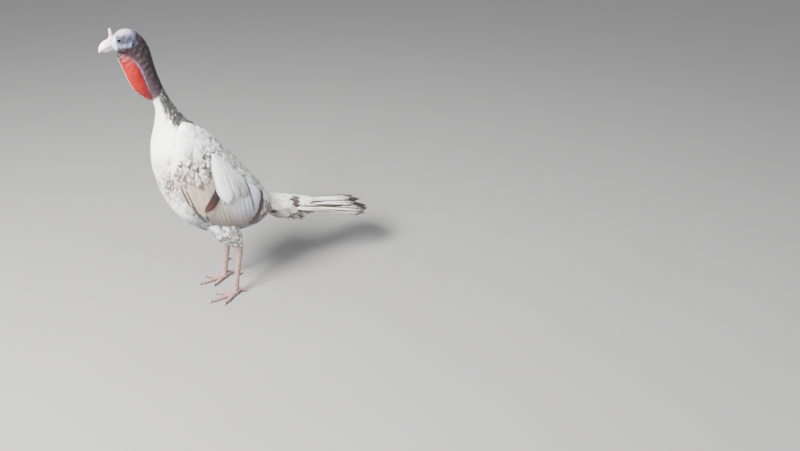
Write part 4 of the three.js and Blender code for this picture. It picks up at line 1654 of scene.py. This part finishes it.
@dataclass
class BodyCoat:
    """Feathers of the trunk, the lower neck and the sparse bristles of the bare neck and head."""

    body: Body
    wings: Sequence[Wing]

    def atlas(self, a: Array, b: Array) -> Array:
        """The bake place of a root: round the body, and from the head (0) to the tail (1)."""
        return np.stack([0.01 + 0.98 * np.mod(b, TURN) / TURN, 0.01 + 0.98 * (a + 19) / 19.6], -1)

    def paint(self, station: Array, turn: Array, points: Array, seed: int) -> tuple[Array, Array, Array]:
        """The white plumage's markings, with painted shade on the belly, on the flank under the wing and
        round the vent.

        Args:
            station: the body's station of each root.
            turn: its turn.
            points: where the feather's middle lies.
            seed: for the feathers' own differences.

        Returns:
            The tint and the stain of each feather, and how strongly the stain shows.
        """
        rng = np.random.default_rng(seed)
        _, f, z = self.body.read(points)
        noise, back = ripple(points, 0.07, 31), np.cos(turn)
        own = rng.normal(size=len(station))
        # The belly's brown is partly its own mottling and partly painted shade, darker on the underside.
        belly = smoothstep(6.5 - station + 0.5 * noise, 0, 1.2) * smoothstep(-back + 0.15 * noise, 0.1, 0.5)
        # The grey-blue flank is partly its own streaking and partly painted shade under the wing.
        flank = smoothstep(7.6 - station, 0, 1.0) * bump(back, -0.45, 0.35) * (station > 3)
        front = bump(z + 0.012 * noise, 0.484, 0.062) * smoothstep(-back, 0.0, 0.6) * smoothstep(f, 0.1, 0.15)
        shoulder = bump(back, -0.05, 0.6) * smoothstep(0.6 - z + 0.02 * noise, 0, 0.05)
        shoulder = shoulder * smoothstep(z + 0.01 * noise, 0.4, 0.44) * smoothstep(f, -0.03, 0.04)
        # The vent's dark brown is painted shadow between the wing's end and the tail.
        vent = smoothstep(3.4 - station + 0.4 * noise, 0, 1.4)
        vent = vent * smoothstep(0.75 - back + 0.15 * noise, 0, 0.5)
        rear = smoothstep(6.2 - station, 0, 1.2) * smoothstep(back, 0.35, 0.7)
        dark = smoothstep(station + 0.35 * noise - 3.3 * (1 - back), 5.9, 7.6)
        dark = np.maximum(dark, smoothstep(station, 9.2, 10.2) * smoothstep(back + 0.25 * noise, -0.6, 0.1))
        tint, stain = layered(
            linear(0xF6F4EF) * (1 + 0.03 * own)[:, None], linear(0x40363A),
            # The belly's brown, its blue-grey front and the flank's grey are partly painted shade.
            (belly * (0.45 + 0.5 * (own > -0.3)), 0x4C4038, None),
            (belly * smoothstep(station, 4.6, 5.6) * 0.75, 0x7D8894, None),
            (flank * (0.35 + 0.6 * (own > 0.0)), 0x7C838C, None), (0.8 * front * (own > 0.1), 0xAE9C93, None),
            (smoothstep(0.52 - z, 0, 0.06) * smoothstep(f, -0.02, 0.08), None, 0x463A35),
            (0.75 * shoulder * (own > -0.1), 0xA8948B, None), (0.7 * shoulder, None, 0x5C4840),
            # The vent's dark brown: painted shadow between the wing's end and the tail.
            (vent * (0.5 + 0.4 * (own > 0)), 0x54463A, None), (rear * 0.6, 0xC9C6C2, None),
            (dark * rng.uniform(0.6, 1.9, len(station)), 0x1E1819, None), (dark, None, 0x2C2526),
            (smoothstep(station, 11.2, 11.9) * 0.8, 0x302728, None))
        mottle = np.maximum.reduce([
            belly * 0.5, flank * (0.35 + 0.55 * (own > 0.4)), front * (0.6 + 0.4 * (own > 0.0)),
            shoulder * (0.75 + 0.25 * (own > -0.4)), rear * (0.1 + 0.4 * (own > 0.5)), dark * 0.8])
        return tint, stain, np.clip(mottle, 0, 1)

    def pitch(self, a: float) -> tuple[float, float]:
        """Row and neighbour spacing at an along: finest up the neck, widest on the back."""
        at = (0, 2, 6, 8, 9.5, 11, 13)
        rows = np.interp(-a, at, (0.011, 0.0115, 0.011, 0.0095, 0.007, 0.0052, 0.0048))
        return rows, np.interp(-a, at, (0.012, 0.0145, 0.0145, 0.0115, 0.0066, 0.0044, 0.0048))

    def contour(self) -> dict[str, Shape]:
        """Body feathers in four pieces: collar, breast, back and belly."""
        a, b, step = lay_rows(self.body, -11.7, 0.12, self.pitch, (0, TURN), 7)
        shown = ~np.any([wing.covers(-a, b, 0.1) for wing in self.wings], axis=0)
        a, b, step = a[shown], b[shown], step[shown]
        station, back = -a, np.cos(b)
        rng = np.random.default_rng(17)
        n = len(a)
        scale, _ = self.body.scales(a, b)
        loose = smoothstep(4.5 - station, 0, 2.5) * smoothstep(-back, 0.1, 0.7)
        long = np.clip(scale * step, 0.004, 0.02) * rng.uniform(0.88, 1.14, n) * (1 + 0.35 * loose)
        long = long * np.interp(station, (0, 4, 8, 11, 12), (3.6, 3.6, 3.4, 3.0, 2.4))
        wide = np.interp(station, (0, 4, 8, 9.5, 11, 12), (0.026, 0.031, 0.025, 0.0115, 0.0052, 0.0022))
        tint, stain, mottle = self.paint(station, b, self.body.point(a + 0.5 * step, b), 18)
        batch = dict(
            a=a, b=b, length=long, width=wide * rng.uniform(0.88, 1.12, n), tint=tint, stain=stain,
            low=-0.01 * (1 - smoothstep(station, 8.2, 11.2)) - 0.0012,
            high=-0.001 + 0.0005 * rng.normal(size=n) * (1 - smoothstep(station, 8.5, 11)) + 0.003 * loose,
            curl=0.0005 * rng.normal(size=n) + 0.004 * loose * rng.uniform(0, 1, n),
            yaw=0.1 * rng.normal(size=n) * (1 + loose) + 0.1 * np.sin(b) * smoothstep(station, 6, 9),
            roll=0.02 * rng.normal(size=n), mottle=mottle)
        collar, rump = station > 8.9, station <= 5.6
        groups = {"coat_collar": collar, "coat_breast": ~collar & ~rump,
                  "coat_back": rump & (back > -0.1), "coat_belly": rump & (back <= -0.1)}
        made = {}
        for number, (name, mask) in enumerate(groups.items()):
            outline = Outline.LOOSE if name in ("coat_belly", "coat_collar") else Outline.CONTOUR
            rows, columns = (6, 3) if name == "coat_collar" else (8, 5)
            chosen = {key: value[mask] for key, value in batch.items()}
            feathers = Feathers(self.body, outline=outline, ragged=0.08, seed=60 + number, **chosen)
            made[name] = feathers.grown(rows, columns, self.atlas)
        return made

    def bristles(self) -> Shape:
        """Sparse dark bristles on the bare neck, the nape and round the ears, a few millimetres
        long; they lie close and get scarcer towards the face."""
        a, b, _ = lay_rows(self.body, -17.6, -11.4, (0.0062, 0.0052), (0, TURN), 70, 0.45)
        rng = np.random.default_rng(71)
        _, f, z = self.body.read(self.body.point(a, b))
        face = (np.hypot(f - 0.226, z - 0.914) < 0.013) | (-a > 17.3)
        chance = lerp(0.95, 0.3, smoothstep(-a, 12, 16)) * smoothstep(np.cos(b), -0.85, 0.1)
        keep = rng.uniform(size=len(a)) < np.where(face, 0, chance)
        a, b = a[keep], b[keep]
        n = len(a)
        long = lerp(0.0105, 0.0048, smoothstep(-a, 11.5, 16)) * rng.uniform(0.7, 1.3, n)
        return Feathers(
            self.body, a, b, length=long, width=long * 0.13, low=-0.0006, high=0.0016,
            tint=linear(0x2A2223) * rng.uniform(0.6, 1.5, (n, 1)), curl=0.0006 * rng.normal(size=n),
            yaw=0.3 * rng.normal(size=n), outline=Outline.BRISTLE, stain=linear(0x2A2223), camber=0.1,
            thick=0.00022, seed=72,
        ).grown(4, 3, self.atlas)


@dataclass
class WingCoat:
    """One folded wing's feathers: three sets of coverts, scapulars, tertials and flight quills."""

    wing: Wing

    def atlas(self, a: Array, b: Array) -> Array:
        """The bake place of a covert's root, over the wing's own map."""
        return 0.04 + 0.9 * np.clip(np.stack([(a + 0.1) / 1.2, (b + 0.15) / 1.4], -1), 0, 1)

    def colours(self, u: Array, v: Array, seed: int) -> tuple[Array, Array, Array]:
        """White feathers with brown-grey crescents, pinker towards the lower edge.

        Args:
            u: along the wing.
            v: across it.
            seed: for the feathers' own differences.

        Returns:
            The tint and the stain of each feather, and how strongly the stain shows.
        """
        rng = np.random.default_rng(seed)
        points = self.wing.point(u, v)
        own, noise = rng.normal(size=len(u)), ripple(points, 0.06, 33)
        low = smoothstep(0.62 - v + 0.15 * noise, 0, 0.4) * smoothstep(u + 0.05 * noise, 0.02, 0.2)
        panel = smoothstep(u - 0.4 * v + 0.02 * noise, 0.33, 0.4)
        clean = smoothstep(v - 3.0 * (u - 0.12) + 0.2 * noise, -0.05, 0.3)
        tint = lerp(linear(0xEFEDEA), linear(0xDCC8BC), 0.6 * low[:, None]) * (1 + 0.03 * own)[:, None]
        tint, stain = layered(
            tint, linear(0x3A3436), (low, None, 0x5C4036),
            (0.75 * rng.uniform(size=len(u)) ** 1.5, 0x8F8785, None), (panel, 0xA99C8A, None),
            (0.9 * clean, 0xF2F1EE, None))
        return tint, stain, np.clip(0.9 + 0.15 * own, 0.5, 1) * (1 - 0.9 * panel) * (1 - 0.92 * clean)

    def coverts(self) -> Shape:
        """Small feathers from the wing's front edge back, each set longer than the one before;
        all hang a little towards the lower edge. The last set is the plain cream panel."""
        sets = ((-0.03, 0.24, (0.0125, 0.016), 0.042, 0.03, (-0.08, 1.06), 0.0, -0.3),
                (0.22, 0.52, (0.017, 0.0195), 0.06, 0.038, (0.36, 1.06), 0.0006, -0.42),
                (0.22, 0.37, (0.017, 0.019), 0.06, 0.036, (-0.06, 0.44), 0.0, -0.45),
                (0.2, 0.46, (0.023, 0.015), 0.115, 0.036, (-0.04, 0.66), -0.0022, -0.6))
        parts = []
        for number, (start, stop, pitch, length, width, span, height, hang) in enumerate(sets):
            a, b, _ = lay_rows(self.wing, start, stop, pitch, span, 80 + number, 0.16)
            rng = np.random.default_rng(90 + number)
            lean = a - 0.36 * b
            kept = lean < 0.2 + 0.02 * rng.normal(size=len(a)) if number < 3 else lean > 0.13
            a, b = a[kept], b[kept]
            n = len(a)
            tint, stain, mottle = self.colours(a + 0.05, b, 95 + number)
            if number == 3:
                tint, mottle = linear(0xA99C8A) * rng.uniform(0.88, 1.12, (n, 1)), mottle * 0.12
                length = np.clip((b + 0.08) * 0.36, 0.034, 0.115)
            parts.append(Feathers(
                self.wing, a, b, length=length * rng.uniform(0.9, 1.1, n),
                width=width * rng.uniform(0.92, 1.08, n), low=height - 0.005,
                high=height + 0.0002 + 0.0003 * rng.normal(size=n), curl=0.0004 * rng.normal(size=n),
                yaw=hang + 0.06 * rng.normal(size=n), roll=0.02 * rng.normal(size=n), tint=tint, stain=stain,
                mottle=mottle, ragged=0.05, seed=100 + number).grown(9, 5, self.atlas))
        return joined(parts)

    def scapulars(self) -> Shape:
        """Soft feathers that fall from the back over the wing's upper edge."""
        a, b, _ = lay_rows(self.wing, 0.14, 0.9, (0.015, 0.015), (0.86, 1.06), 110, 0.2)
        rng = np.random.default_rng(111)
        n = len(a)
        tint, stain, _ = self.colours(a * 0.5, np.full(n, 0.93), 112)
        mottle = smoothstep(a, 0.28, 0.4) * lerp(0.7, 1.0, bump(a, 0.5, 0.14)) * rng.uniform(0.5, 1.0, n)
        grey = smoothstep(a, 0.4, 0.7) * rng.uniform(0.3, 1.0, n)
        sunk = 0.0055 * smoothstep(a, 0.62, 0.8) * smoothstep(b, 0.985, 1.03)
        return Feathers(
            self.wing, a, b, length=lerp(0.042, 0.066, np.clip(a / 0.6, 0, 1)) * rng.uniform(0.9, 1.1, n),
            width=0.033 * rng.uniform(0.9, 1.1, n), low=-0.0045,
            high=0.0014 + 0.0004 * rng.normal(size=n) - sunk, curl=0.0005 * rng.normal(size=n),
            yaw=0.08 * rng.normal(size=n) - 0.16, roll=0.02 * rng.normal(size=n),
            tint=lerp(tint, linear(0x9C9691), grey[:, None]), stain=stain, mottle=mottle, seed=113,
        ).grown(9, 5, self.atlas)

    def column(self, count: int, start: int = 0) -> Place:
        """A bake place for quills: a column of the map each, so that their stripes stay clear."""
        return lambda a, b: np.stack([(np.arange(len(a)) + start + 0.5) / count, np.full(len(a), 0.5)], -1)

    def quills(self, lines: Sequence, width: Number, seed: int, **look: Any) -> Feathers:
        """Long feathers, each given by its own line on the wing.

        Args:
            lines: rows of (root along, root across, tip along, tip across, height of the tip).
            width: metres across each feather.
            seed: for their differences.
            look: further values for the feathers.

        Returns:
            The feathers, each turned to run from its root to its tip.
        """
        rng = np.random.default_rng(seed)
        a, b, ta, tb, height = np.asarray(lines, float).T
        down, over = self.wing.scales((a + ta) / 2, (b + tb) / 2)
        down, over = (ta - a) * down, (tb - b) * over
        usual = dict(outline=Outline.QUILL, roll=-0.03, ragged=0.012, patch=0.9 / 31, low=height - 0.002)
        return Feathers(
            self.wing, a, b, length=np.hypot(down, over) * rng.uniform(0.98, 1.02, len(a)),
            width=width * rng.uniform(0.95, 1.05, len(a)), high=height, yaw=np.arctan2(over, down),
            thick=0.0006, seed=seed, **(usual | look))

    def flight(self) -> tuple[Shape, Shape]:
        """Secondaries that hang from the wing's upper edge to the lower one, broad white tertials over them,
        one dark thin quill, a thin brown line, two dark strips of painted shadow along the wing's lower edge,
        one rusty covert, and the brown ends of the primaries."""
        rng = np.random.default_rng(130)
        k = np.linspace(0, 1, 20)
        knots = ((0.88, 0.98, 0.915, 0.42, -0.0012), (0.78, 0.92, 0.925, 0.05, -0.002),
                 (0.6, 0.7, 0.84, -0.09, -0.003), (0.4, 0.46, 0.64, -0.09, -0.004))
        # The secondaries darken and warm towards their tips by the wing's lower edge: partly their own beige,
        # partly painted shade.
        secondaries = self.quills(
            curve(knots, k * 3), 0.037, 131, stain=linear(0x5B504B), sweep=0.04,
            tint=lerp(linear(0xD3DBE9), linear(0xBAB1A4), smoothstep(k, 0.35, 0.75)[:, None]),
            tip=lerp(linear(0xAEB2C0), linear(0x766A60), smoothstep(k, 0.2, 0.55)[:, None]),
            mottle=0.1 + 0.15 * rng.uniform(size=20) + 0.45 * bump(k, 0.5, 0.2))
        broad = ((0.7, 0.87, 0.81, 0.46, 0.0002), (0.67, 0.86, 0.78, 0.4, 0.001),
                 (0.63, 0.84, 0.75, 0.5, 0.0019), (0.6, 0.83, 0.715, 0.36, 0.0028),
                 (0.57, 0.82, 0.685, 0.42, 0.0038), (0.528, 0.8, 0.645, 0.27, 0.0048))
        tertials = self.quills(
            broad, np.array([0.044, 0.052, 0.044, 0.056, 0.048, 0.066]), 133, outline=Outline.BROAD,
            roll=0.06, sweep=0.1, mottle=0.22, stain=linear(0x83786F),
            tint=lerp(linear(0xD5D9E0), linear(0xF5F4F2), np.linspace(0, 1, 6)[:, None]),
            tip=lerp(linear(0x8E857E), linear(0xEDEEEE), np.array([0, 0.1, 0.2, 0.45, 0.9, 1])[:, None]))
        # The first is a dark quill line on the secondaries, the second a brown line; the last two dark strips
        # are painted shadow along the wing's lower edge.
        thin = ((0.785, 0.84, 0.905, 0.26, 0.0032), (0.35, 0.06, 0.49, -0.035, 0.0012),
                (0.3, -0.01, 0.43, -0.065, 0.0012), (0.43, -0.03, 0.6, -0.085, 0.0012))
        line = self.quills(
            thin, np.array([0.005, 0.005, 0.006, 0.009]), 137, outline=Outline.PLATE, stain=linear(0x1C1A20),
            low=[height for *_, height in thin],
            tint=np.stack([linear(c) for c in (0x1C1A20, 0x4A382E, 0x3A2A22, 0x3A2A22)]))
        rusty = self.quills(
            ((0.6, 0.54, 0.577, 0.06, 0.0022),), 0.029, 138, outline=Outline.CONTOUR, ragged=0.03,
            sweep=-0.14, tint=linear(0x241416), tip=linear(0x5A1C1E), stain=linear(0x1E0C0C), mottle=0.6)
        ends = ((0.8, 0.91, 1.008, 0.68, -0.0045), (0.8, 0.3, 1.005, 0.0, -0.003))
        j = np.linspace(0, 1, 9)[:, None]
        primaries = self.quills(
            lerp(*np.array(ends), j), 0.034, 135, tint=lerp(linear(0x35261E), linear(0x4E3B2E), j),
            stain=linear(0x33241C), mottle=0.5 + 0.4 * rng.uniform(size=9), patch=0.9 / 9)
        upper = joined([secondaries.grown(24, 9, self.column(31)), tertials.grown(22, 9, self.column(31, 20)),
                        line.grown(16, 3, self.column(31, 26)), rusty.grown(14, 9, self.column(31, 30))])
        return upper, primaries.grown(24, 9, self.column(9))


@dataclass
class TailCoat:
    """The closed tail: a stack of long quills between two pads of soft coverts."""

    tail: Tail
    upper: TailCoverts

    def atlas(self, a: Array, b: Array) -> Array:
        """The bake place of a covert's root."""
        return np.stack([0.05 + 0.9 * np.mod(b + math.pi, TURN) / TURN, 0.05 + 0.9 * a], -1)

    def rectrices(self) -> Shape:
        """Eighteen tail quills, the middle pair on top, worn and dirty towards their ends."""
        count = 18
        rng = np.random.default_rng(140)
        place = np.linspace(-1, 1, count)
        outer = np.abs(place)
        height = 0.003 - 0.0062 * outer
        dark = np.isin(np.arange(count), (2, 5, 6, 10, 11, 13, 15))
        dirty = np.where(dark, 1.0, 0.4 * rng.uniform(size=count))
        tint = lerp(linear(0xF1EFEA), linear(0xD8CDBC), outer[:, None])
        tint = np.where(dark[:, None], linear(0x4A3E36), tint)
        return Feathers(
            self.tail, np.full(count, 0.02), place * 0.8, high=height, low=height - 0.001,
            length=self.tail.length * (0.99 - 0.035 * outer) * rng.uniform(0.86, 1.0, count),
            width=rng.uniform(0.024, 0.05, count), curl=0.0015 * rng.normal(size=count), yaw=place * 0.035,
            roll=-0.04 * np.sign(place), thick=0.0006, outline=Outline.QUILL, tint=tint,
            tip=lerp(tint * 0.85, linear(0x0E0A08), dirty[:, None]), stain=linear(0x1A1310),
            mottle=np.where(dark, 1.0, 0.84 + 0.15 * rng.uniform(size=count)), ragged=0.03, patch=0.9 / count,
            seed=141).grown(30, 9, lambda a, b: np.stack([(np.arange(count) + 0.5) / count, 0.5 + 0 * a], -1))

    def coverts(self, surface: TailCoverts, tint: int, stain: int, mottle: float, length: float, span: tuple,
                seed: int, loft: float) -> Shape:
        """Soft overlapping feathers on one of the pads.

        Args:
            surface: the pad.
            tint: the feathers' colour.
            stain: their markings' colour.
            mottle: how strongly the markings show.
            length: metres of the longest ones.
            span: the turns that they grow on.
            seed: for their differences.
            loft: how far the tips stand off, in metres.

        Returns:
            The coverts.
        """
        a, b, _ = lay_rows(surface, 0.03, 0.86, (0.015, 0.0165), span, seed, 0.25)
        rng = np.random.default_rng(seed + 1)
        n = len(a)
        shade = 1 + 0.06 * rng.normal(size=(n, 1))
        long = length * lerp(0.75, 1.1, a) * rng.uniform(0.85, 1.12, n)
        slant = 0.66 + 0.1 * np.abs(b) - 0.25 * np.clip(np.abs(b) - 0.5, 0, 1)
        bar = (np.abs(a + long / surface.long - slant) < 0.068) & (surface is self.upper)
        return Feathers(
            surface, a, b, length=long, width=0.028 * rng.uniform(0.85, 1.15, n), low=-0.0055,
            high=rng.uniform(0.2, 1.0, n) * loft, curl=loft * rng.normal(size=n),
            yaw=0.12 * rng.normal(size=n), roll=0.06 * rng.normal(size=n), camber=0.13, thick=0.0005,
            outline=Outline.LOOSE, stain=linear(stain),
            tint=np.where(bar[:, None], linear(0x35241B), linear(tint) * shade),
            mottle=mottle * (rng.uniform(size=n) > 0.35), ragged=0.08, seed=seed + 2).grown(8, 5, self.atlas)


@dataclass
class ThighCoat:
    """Loose feathers down one thigh, shortest at the hock."""

    leg: Leg

    def atlas(self, a: Array, b: Array) -> Array:
        """The bake place of a root."""
        return np.stack([0.05 + 0.9 * np.mod(b, TURN) / TURN, 0.05 + 0.9 * a], -1)

    def pitch(self, a: float) -> tuple[float, float]:
        """Row and neighbour spacing, closer towards the hock."""
        return lerp(0.0125, 0.0062, a * a), lerp(0.0135, 0.007, a * a)

    def feathers(self) -> Shape:
        """Rows down the thigh's own surface, white with grey and beige ones among them."""
        limb, seed = self.leg.thigh(), 160 + self.leg.side
        a, b, _ = lay_rows(limb, 0.05, 0.97, self.pitch, (0, TURN), seed, 0.25)
        rng = np.random.default_rng(seed + 1)
        n = len(a)
        long = lerp(0.044, 0.019, a * a) * rng.uniform(0.85, 1.15, n)
        tint = lerp(linear(0xE4E3E1), linear(0x7B8088), rng.uniform(size=(n, 1)) ** 1.3)
        tint = lerp(tint, linear(0x5E4E42), (rng.uniform(size=n) > 0.72)[:, None] * 0.8)
        return Feathers(
            limb, a, b, length=long, width=lerp(0.024, 0.01, a * a), low=-lerp(0.009, 0.002, a), high=0.0004,
            curl=0.002 * rng.uniform(-0.4, 1, n), yaw=0.13 * rng.normal(size=n), camber=0.14, thick=0.0005,
            outline=Outline.LOOSE, tint=tint, stain=linear(0x5E554E), ragged=0.08, seed=seed + 2,
            mottle=0.4 * (rng.uniform(size=n) > 0.5)).grown(7, 5, self.atlas)


# ---- the bird and the studio


@dataclass
class Turkey:
    """The whole bird, built sub-assembly by sub-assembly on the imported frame."""

    shift: float

    def __post_init__(self) -> None:
        """Sets up the shared surfaces and the finishes."""
        self.body = Body(self.shift)
        self.wings = {name: Wing(self.body, side) for name, side in SIDES.items()}
        self.tail = Tail(self.body)
        self.legs = {name: Leg(self.body, side) for name, side in SIDES.items()}
        self.eyes = {name: np.array(sum(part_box("eye_" + name), Vector()) / 2) for name in SIDES}
        self.over = TailCoverts(self.tail, (0.044, 0.05), (0.034, 0.002, 0.008), (0.0, 0.004))
        self.under = TailCoverts(self.tail, (0.038, 0.042), (0.02, 0.022, 0.01), (-0.014, -0.022))
        self.plumage = FeatherFinish("plumage").material()
        self.quill = FeatherFinish("quills", Marking.STREAK, 0.0016, rim=0.75).material()
        self.streaked = FeatherFinish("streaked_quills", Marking.STREAK, 0.0016, rim=0.75, sheen=0.02,
                                      worn=(0.78, 0.98)).material()
        self.horn = HornFinish().material()

    def piece(self, name: str, shape: Shape, material: Material, slot: str, *nodes: str) -> None:
        """Makes one piece of the bird.

        Args:
            name: the piece's name.
            shape: what to build.
            material: its finish.
            slot: its slot; not used.
            nodes: the CAD nodes that it stands for.
        """
        made = make_object(name, shape, material)
        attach(made, "root")
        if nodes:
            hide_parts(*nodes)

    def build_skin(self) -> None:
        """The one skin, with snood, lids, wing pads, tail pads, thighs and shanks joined to it."""
        shell = SkinShell(self.body)
        parts = [shell.trunk_and_head(), shell.snood()]
        for name, side in SIDES.items():
            leg = self.legs[name]
            parts += [shell.lid(self.eyes[name], side), shell.wing_pad(self.wings[name]),
                      shell.loft(leg.thigh(), 0.008, 1.0, 0xDCC6B8), *leg.skin()]
        parts += [shell.loft(pad, 0.006, 0.98, 0xCDBFAF) for pad in (self.over, self.under)]
        self.piece("skin", joined(parts), SkinFinish().material(), "bare_skin", "head", "neck_upper",
                   "neck_lower", "trunk", "throat_wattle", "snood", "thigh_left", "thigh_right", "leg_left",
                   "leg_right")

    def build_head(self) -> None:
        """Bill and eyes."""
        bill = Bill(self.body)
        for name, is_upper in (("bill_upper", True), ("bill_lower", False)):
            self.piece("horn_" + name, bill.half(is_upper), self.horn, "horn", name)
        iris, clear = EyeFinish().material(), CorneaFinish().material()
        for name, side in SIDES.items():
            eye = Eye(self.eyes[name], side)
            self.piece("eyeball_" + name, eye.ball(), iris, "eye", "eye_" + name)
            self.piece("cornea_" + name, eye.cornea(), clear, "eye")

    def build_legs(self) -> None:
        """Scales, claws and spurs."""
        scale = ScaleFinish().material()
        for name, leg in self.legs.items():
            self.piece("scales_" + name, leg.scales(), scale, "shank", "leg_" + name)
            for node, shape in leg.claws(name).items():
                self.piece("horn_" + node, shape, self.horn, "horn", node)

    def build_coat(self) -> None:
        """Every feather, in pieces small enough to keep whole."""
        coat = BodyCoat(self.body, list(self.wings.values()))
        for name, shape in coat.contour().items():
            self.piece(name, shape, self.plumage, "plumage", "trunk")
        self.piece("bristles", coat.bristles(), self.plumage, "neck_down", "neck_upper", "neck_lower")
        for name, wing in self.wings.items():
            feathers = WingCoat(wing)
            upper, lower = feathers.flight()
            thigh = ThighCoat(self.legs[name]).feathers()
            for piece, shape, finish, slot, node in (
                    ("coverts", feathers.coverts(), self.plumage, "mottled", f"wing_{name}_coverts"),
                    ("scapulars", feathers.scapulars(), self.plumage, "mottled", f"wing_{name}_coverts"),
                    ("secondaries", upper, self.quill, "plumage", f"wing_{name}_secondaries"),
                    ("primaries", lower, self.quill, "plumage", f"wing_{name}_primaries"),
                    ("thigh_feathers", thigh, self.plumage, "plumage", f"thigh_{name}")):
                self.piece(f"{piece}_{name}", shape, finish, slot, node)
        tail = TailCoat(self.tail, self.over)
        self.piece("tail_quills", tail.rectrices(), self.streaked, "plumage", "tail_feathers")
        over = tail.coverts(self.over, 0xEDEAE4, 0x5F554F, 0.45, 0.062, (-1.75, 1.75), 150, 0.0008)
        self.piece("upper_tail_coverts", over, self.plumage, "mottled", "tail_coverts_upper")
        below = tail.coverts(self.under, 0x8F8A84, 0x4A433E, 0.6, 0.078, (1.2, TURN - 1.2), 155, 0.013)
        self.piece("under_tail_coverts", below, self.plumage, "plumage", "tail_coverts_under")


@dataclass(frozen=True)
class Studio:
    """A pale floor, soft daylight from the bird's front left, and the camera."""

    shift: float
    azimuth: float = 70.0
    distance: float = 2.25
    height: float = 1.35
    turned: float = 16.2
    pitch: float = 27.0
    lens: float = 31.5

    def stand(self, name: str, data: bpy.types.ID, place: Vector, look: Vector) -> bpy.types.Object:
        """Sets up a lamp or a camera.

        Args:
            name: its name.
            data: the lamp or the camera.
            place: where it stands.
            look: the direction that it faces.

        Returns:
            The object.
        """
        holder = bpy.data.objects.new(name, data)
        holder.location = place
        holder.rotation_euler = look.to_track_quat("-Z", "Y").to_euler()
        bpy.context.scene.collection.objects.link(holder)
        return holder

    def floor(self) -> None:
        """A wide pale disc, whose rings are spaced by the square of their number."""
        r, turn = turns(np.linspace(0.01, 1, 12) ** 2 * 14, 96)
        top = np.stack([r * np.cos(turn), r * np.sin(turn), np.zeros_like(r)], -1)
        shape = tube(np.concatenate([top, top[::-1] - [0, 0, 0.02]]), np.ones(3)).outward()
        mesh = bpy.data.meshes.new("floor")
        faces = [face.tolist() for table in shape.faces for face in table]
        mesh.from_pydata(shape.points.tolist(), [], faces)
        mesh.materials.append(FloorFinish().material())
        piece = bpy.data.objects.new("floor", mesh)
        bpy.context.scene.collection.objects.link(piece)

    def light(self, name: str, place: tuple, size: float, power: float, colour: tuple) -> None:
        """A square area light, aimed at the bird's breast.

        Args:
            name: its name.
            place: where it hangs.
            size: metres across.
            power: in watts.
            colour: its linear channels.
        """
        lamp = bpy.data.lights.new(name, "AREA")
        lamp.shape, lamp.size, lamp.energy, lamp.color = "SQUARE", size, power, colour
        self.stand(name, lamp, Vector(place), Vector((0, self.shift, 0.5)) - Vector(place))

    def lights(self) -> None:
        """A large soft key from the window side, a weak fill and an even pale sky."""
        world = bpy.data.worlds.new("studio")
        world.use_nodes = True
        backdrop = world.node_tree.nodes["Background"]
        backdrop.inputs["Color"].default_value = (0.93, 0.96, 1.0, 1)
        backdrop.inputs["Strength"].default_value = 0.85
        bpy.context.scene.world = world
        self.light("window", (0.9, -2.5, 3.0), 1.5, 900, (0.985, 0.99, 1.0))
        self.light("sky", (2.6, 0.9, 2.6), 2.2, 60, (0.94, 0.97, 1.0))

    def camera(self) -> None:
        """The camera stands off at the azimuth and looks past the bird by the turned angle."""
        a, down = math.radians(self.azimuth), math.radians(self.pitch)
        place = Vector((math.sin(a) * self.distance, -math.cos(a) * self.distance + self.shift, self.height))
        way = math.atan2(self.shift - place.y, -place.x) - math.radians(self.turned)
        look = Vector((math.cos(way) * math.cos(down), math.sin(way) * math.cos(down), -math.sin(down)))
        lens = bpy.data.cameras.new("camera")
        lens.lens, lens.sensor_width = self.lens, 36
        bpy.context.scene.camera = self.stand("camera", lens, place, look)


def main() -> None:
    """Builds the studio and the bird in order, and logs each step as it is done."""
    logging.basicConfig(level=logging.INFO, format="%(message)s")
    low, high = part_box("eye_left")
    shift = (low.y + high.y) / 2 + 0.226
    studio = Studio(shift)
    studio.camera()
    studio.lights()
    studio.floor()
    bird = Turkey(shift)
    for step in (bird.build_skin, bird.build_head, bird.build_legs, bird.build_coat):
        step()
        LOG.info("%s done", step.__name__)


if __name__ == "__main__":
    main()
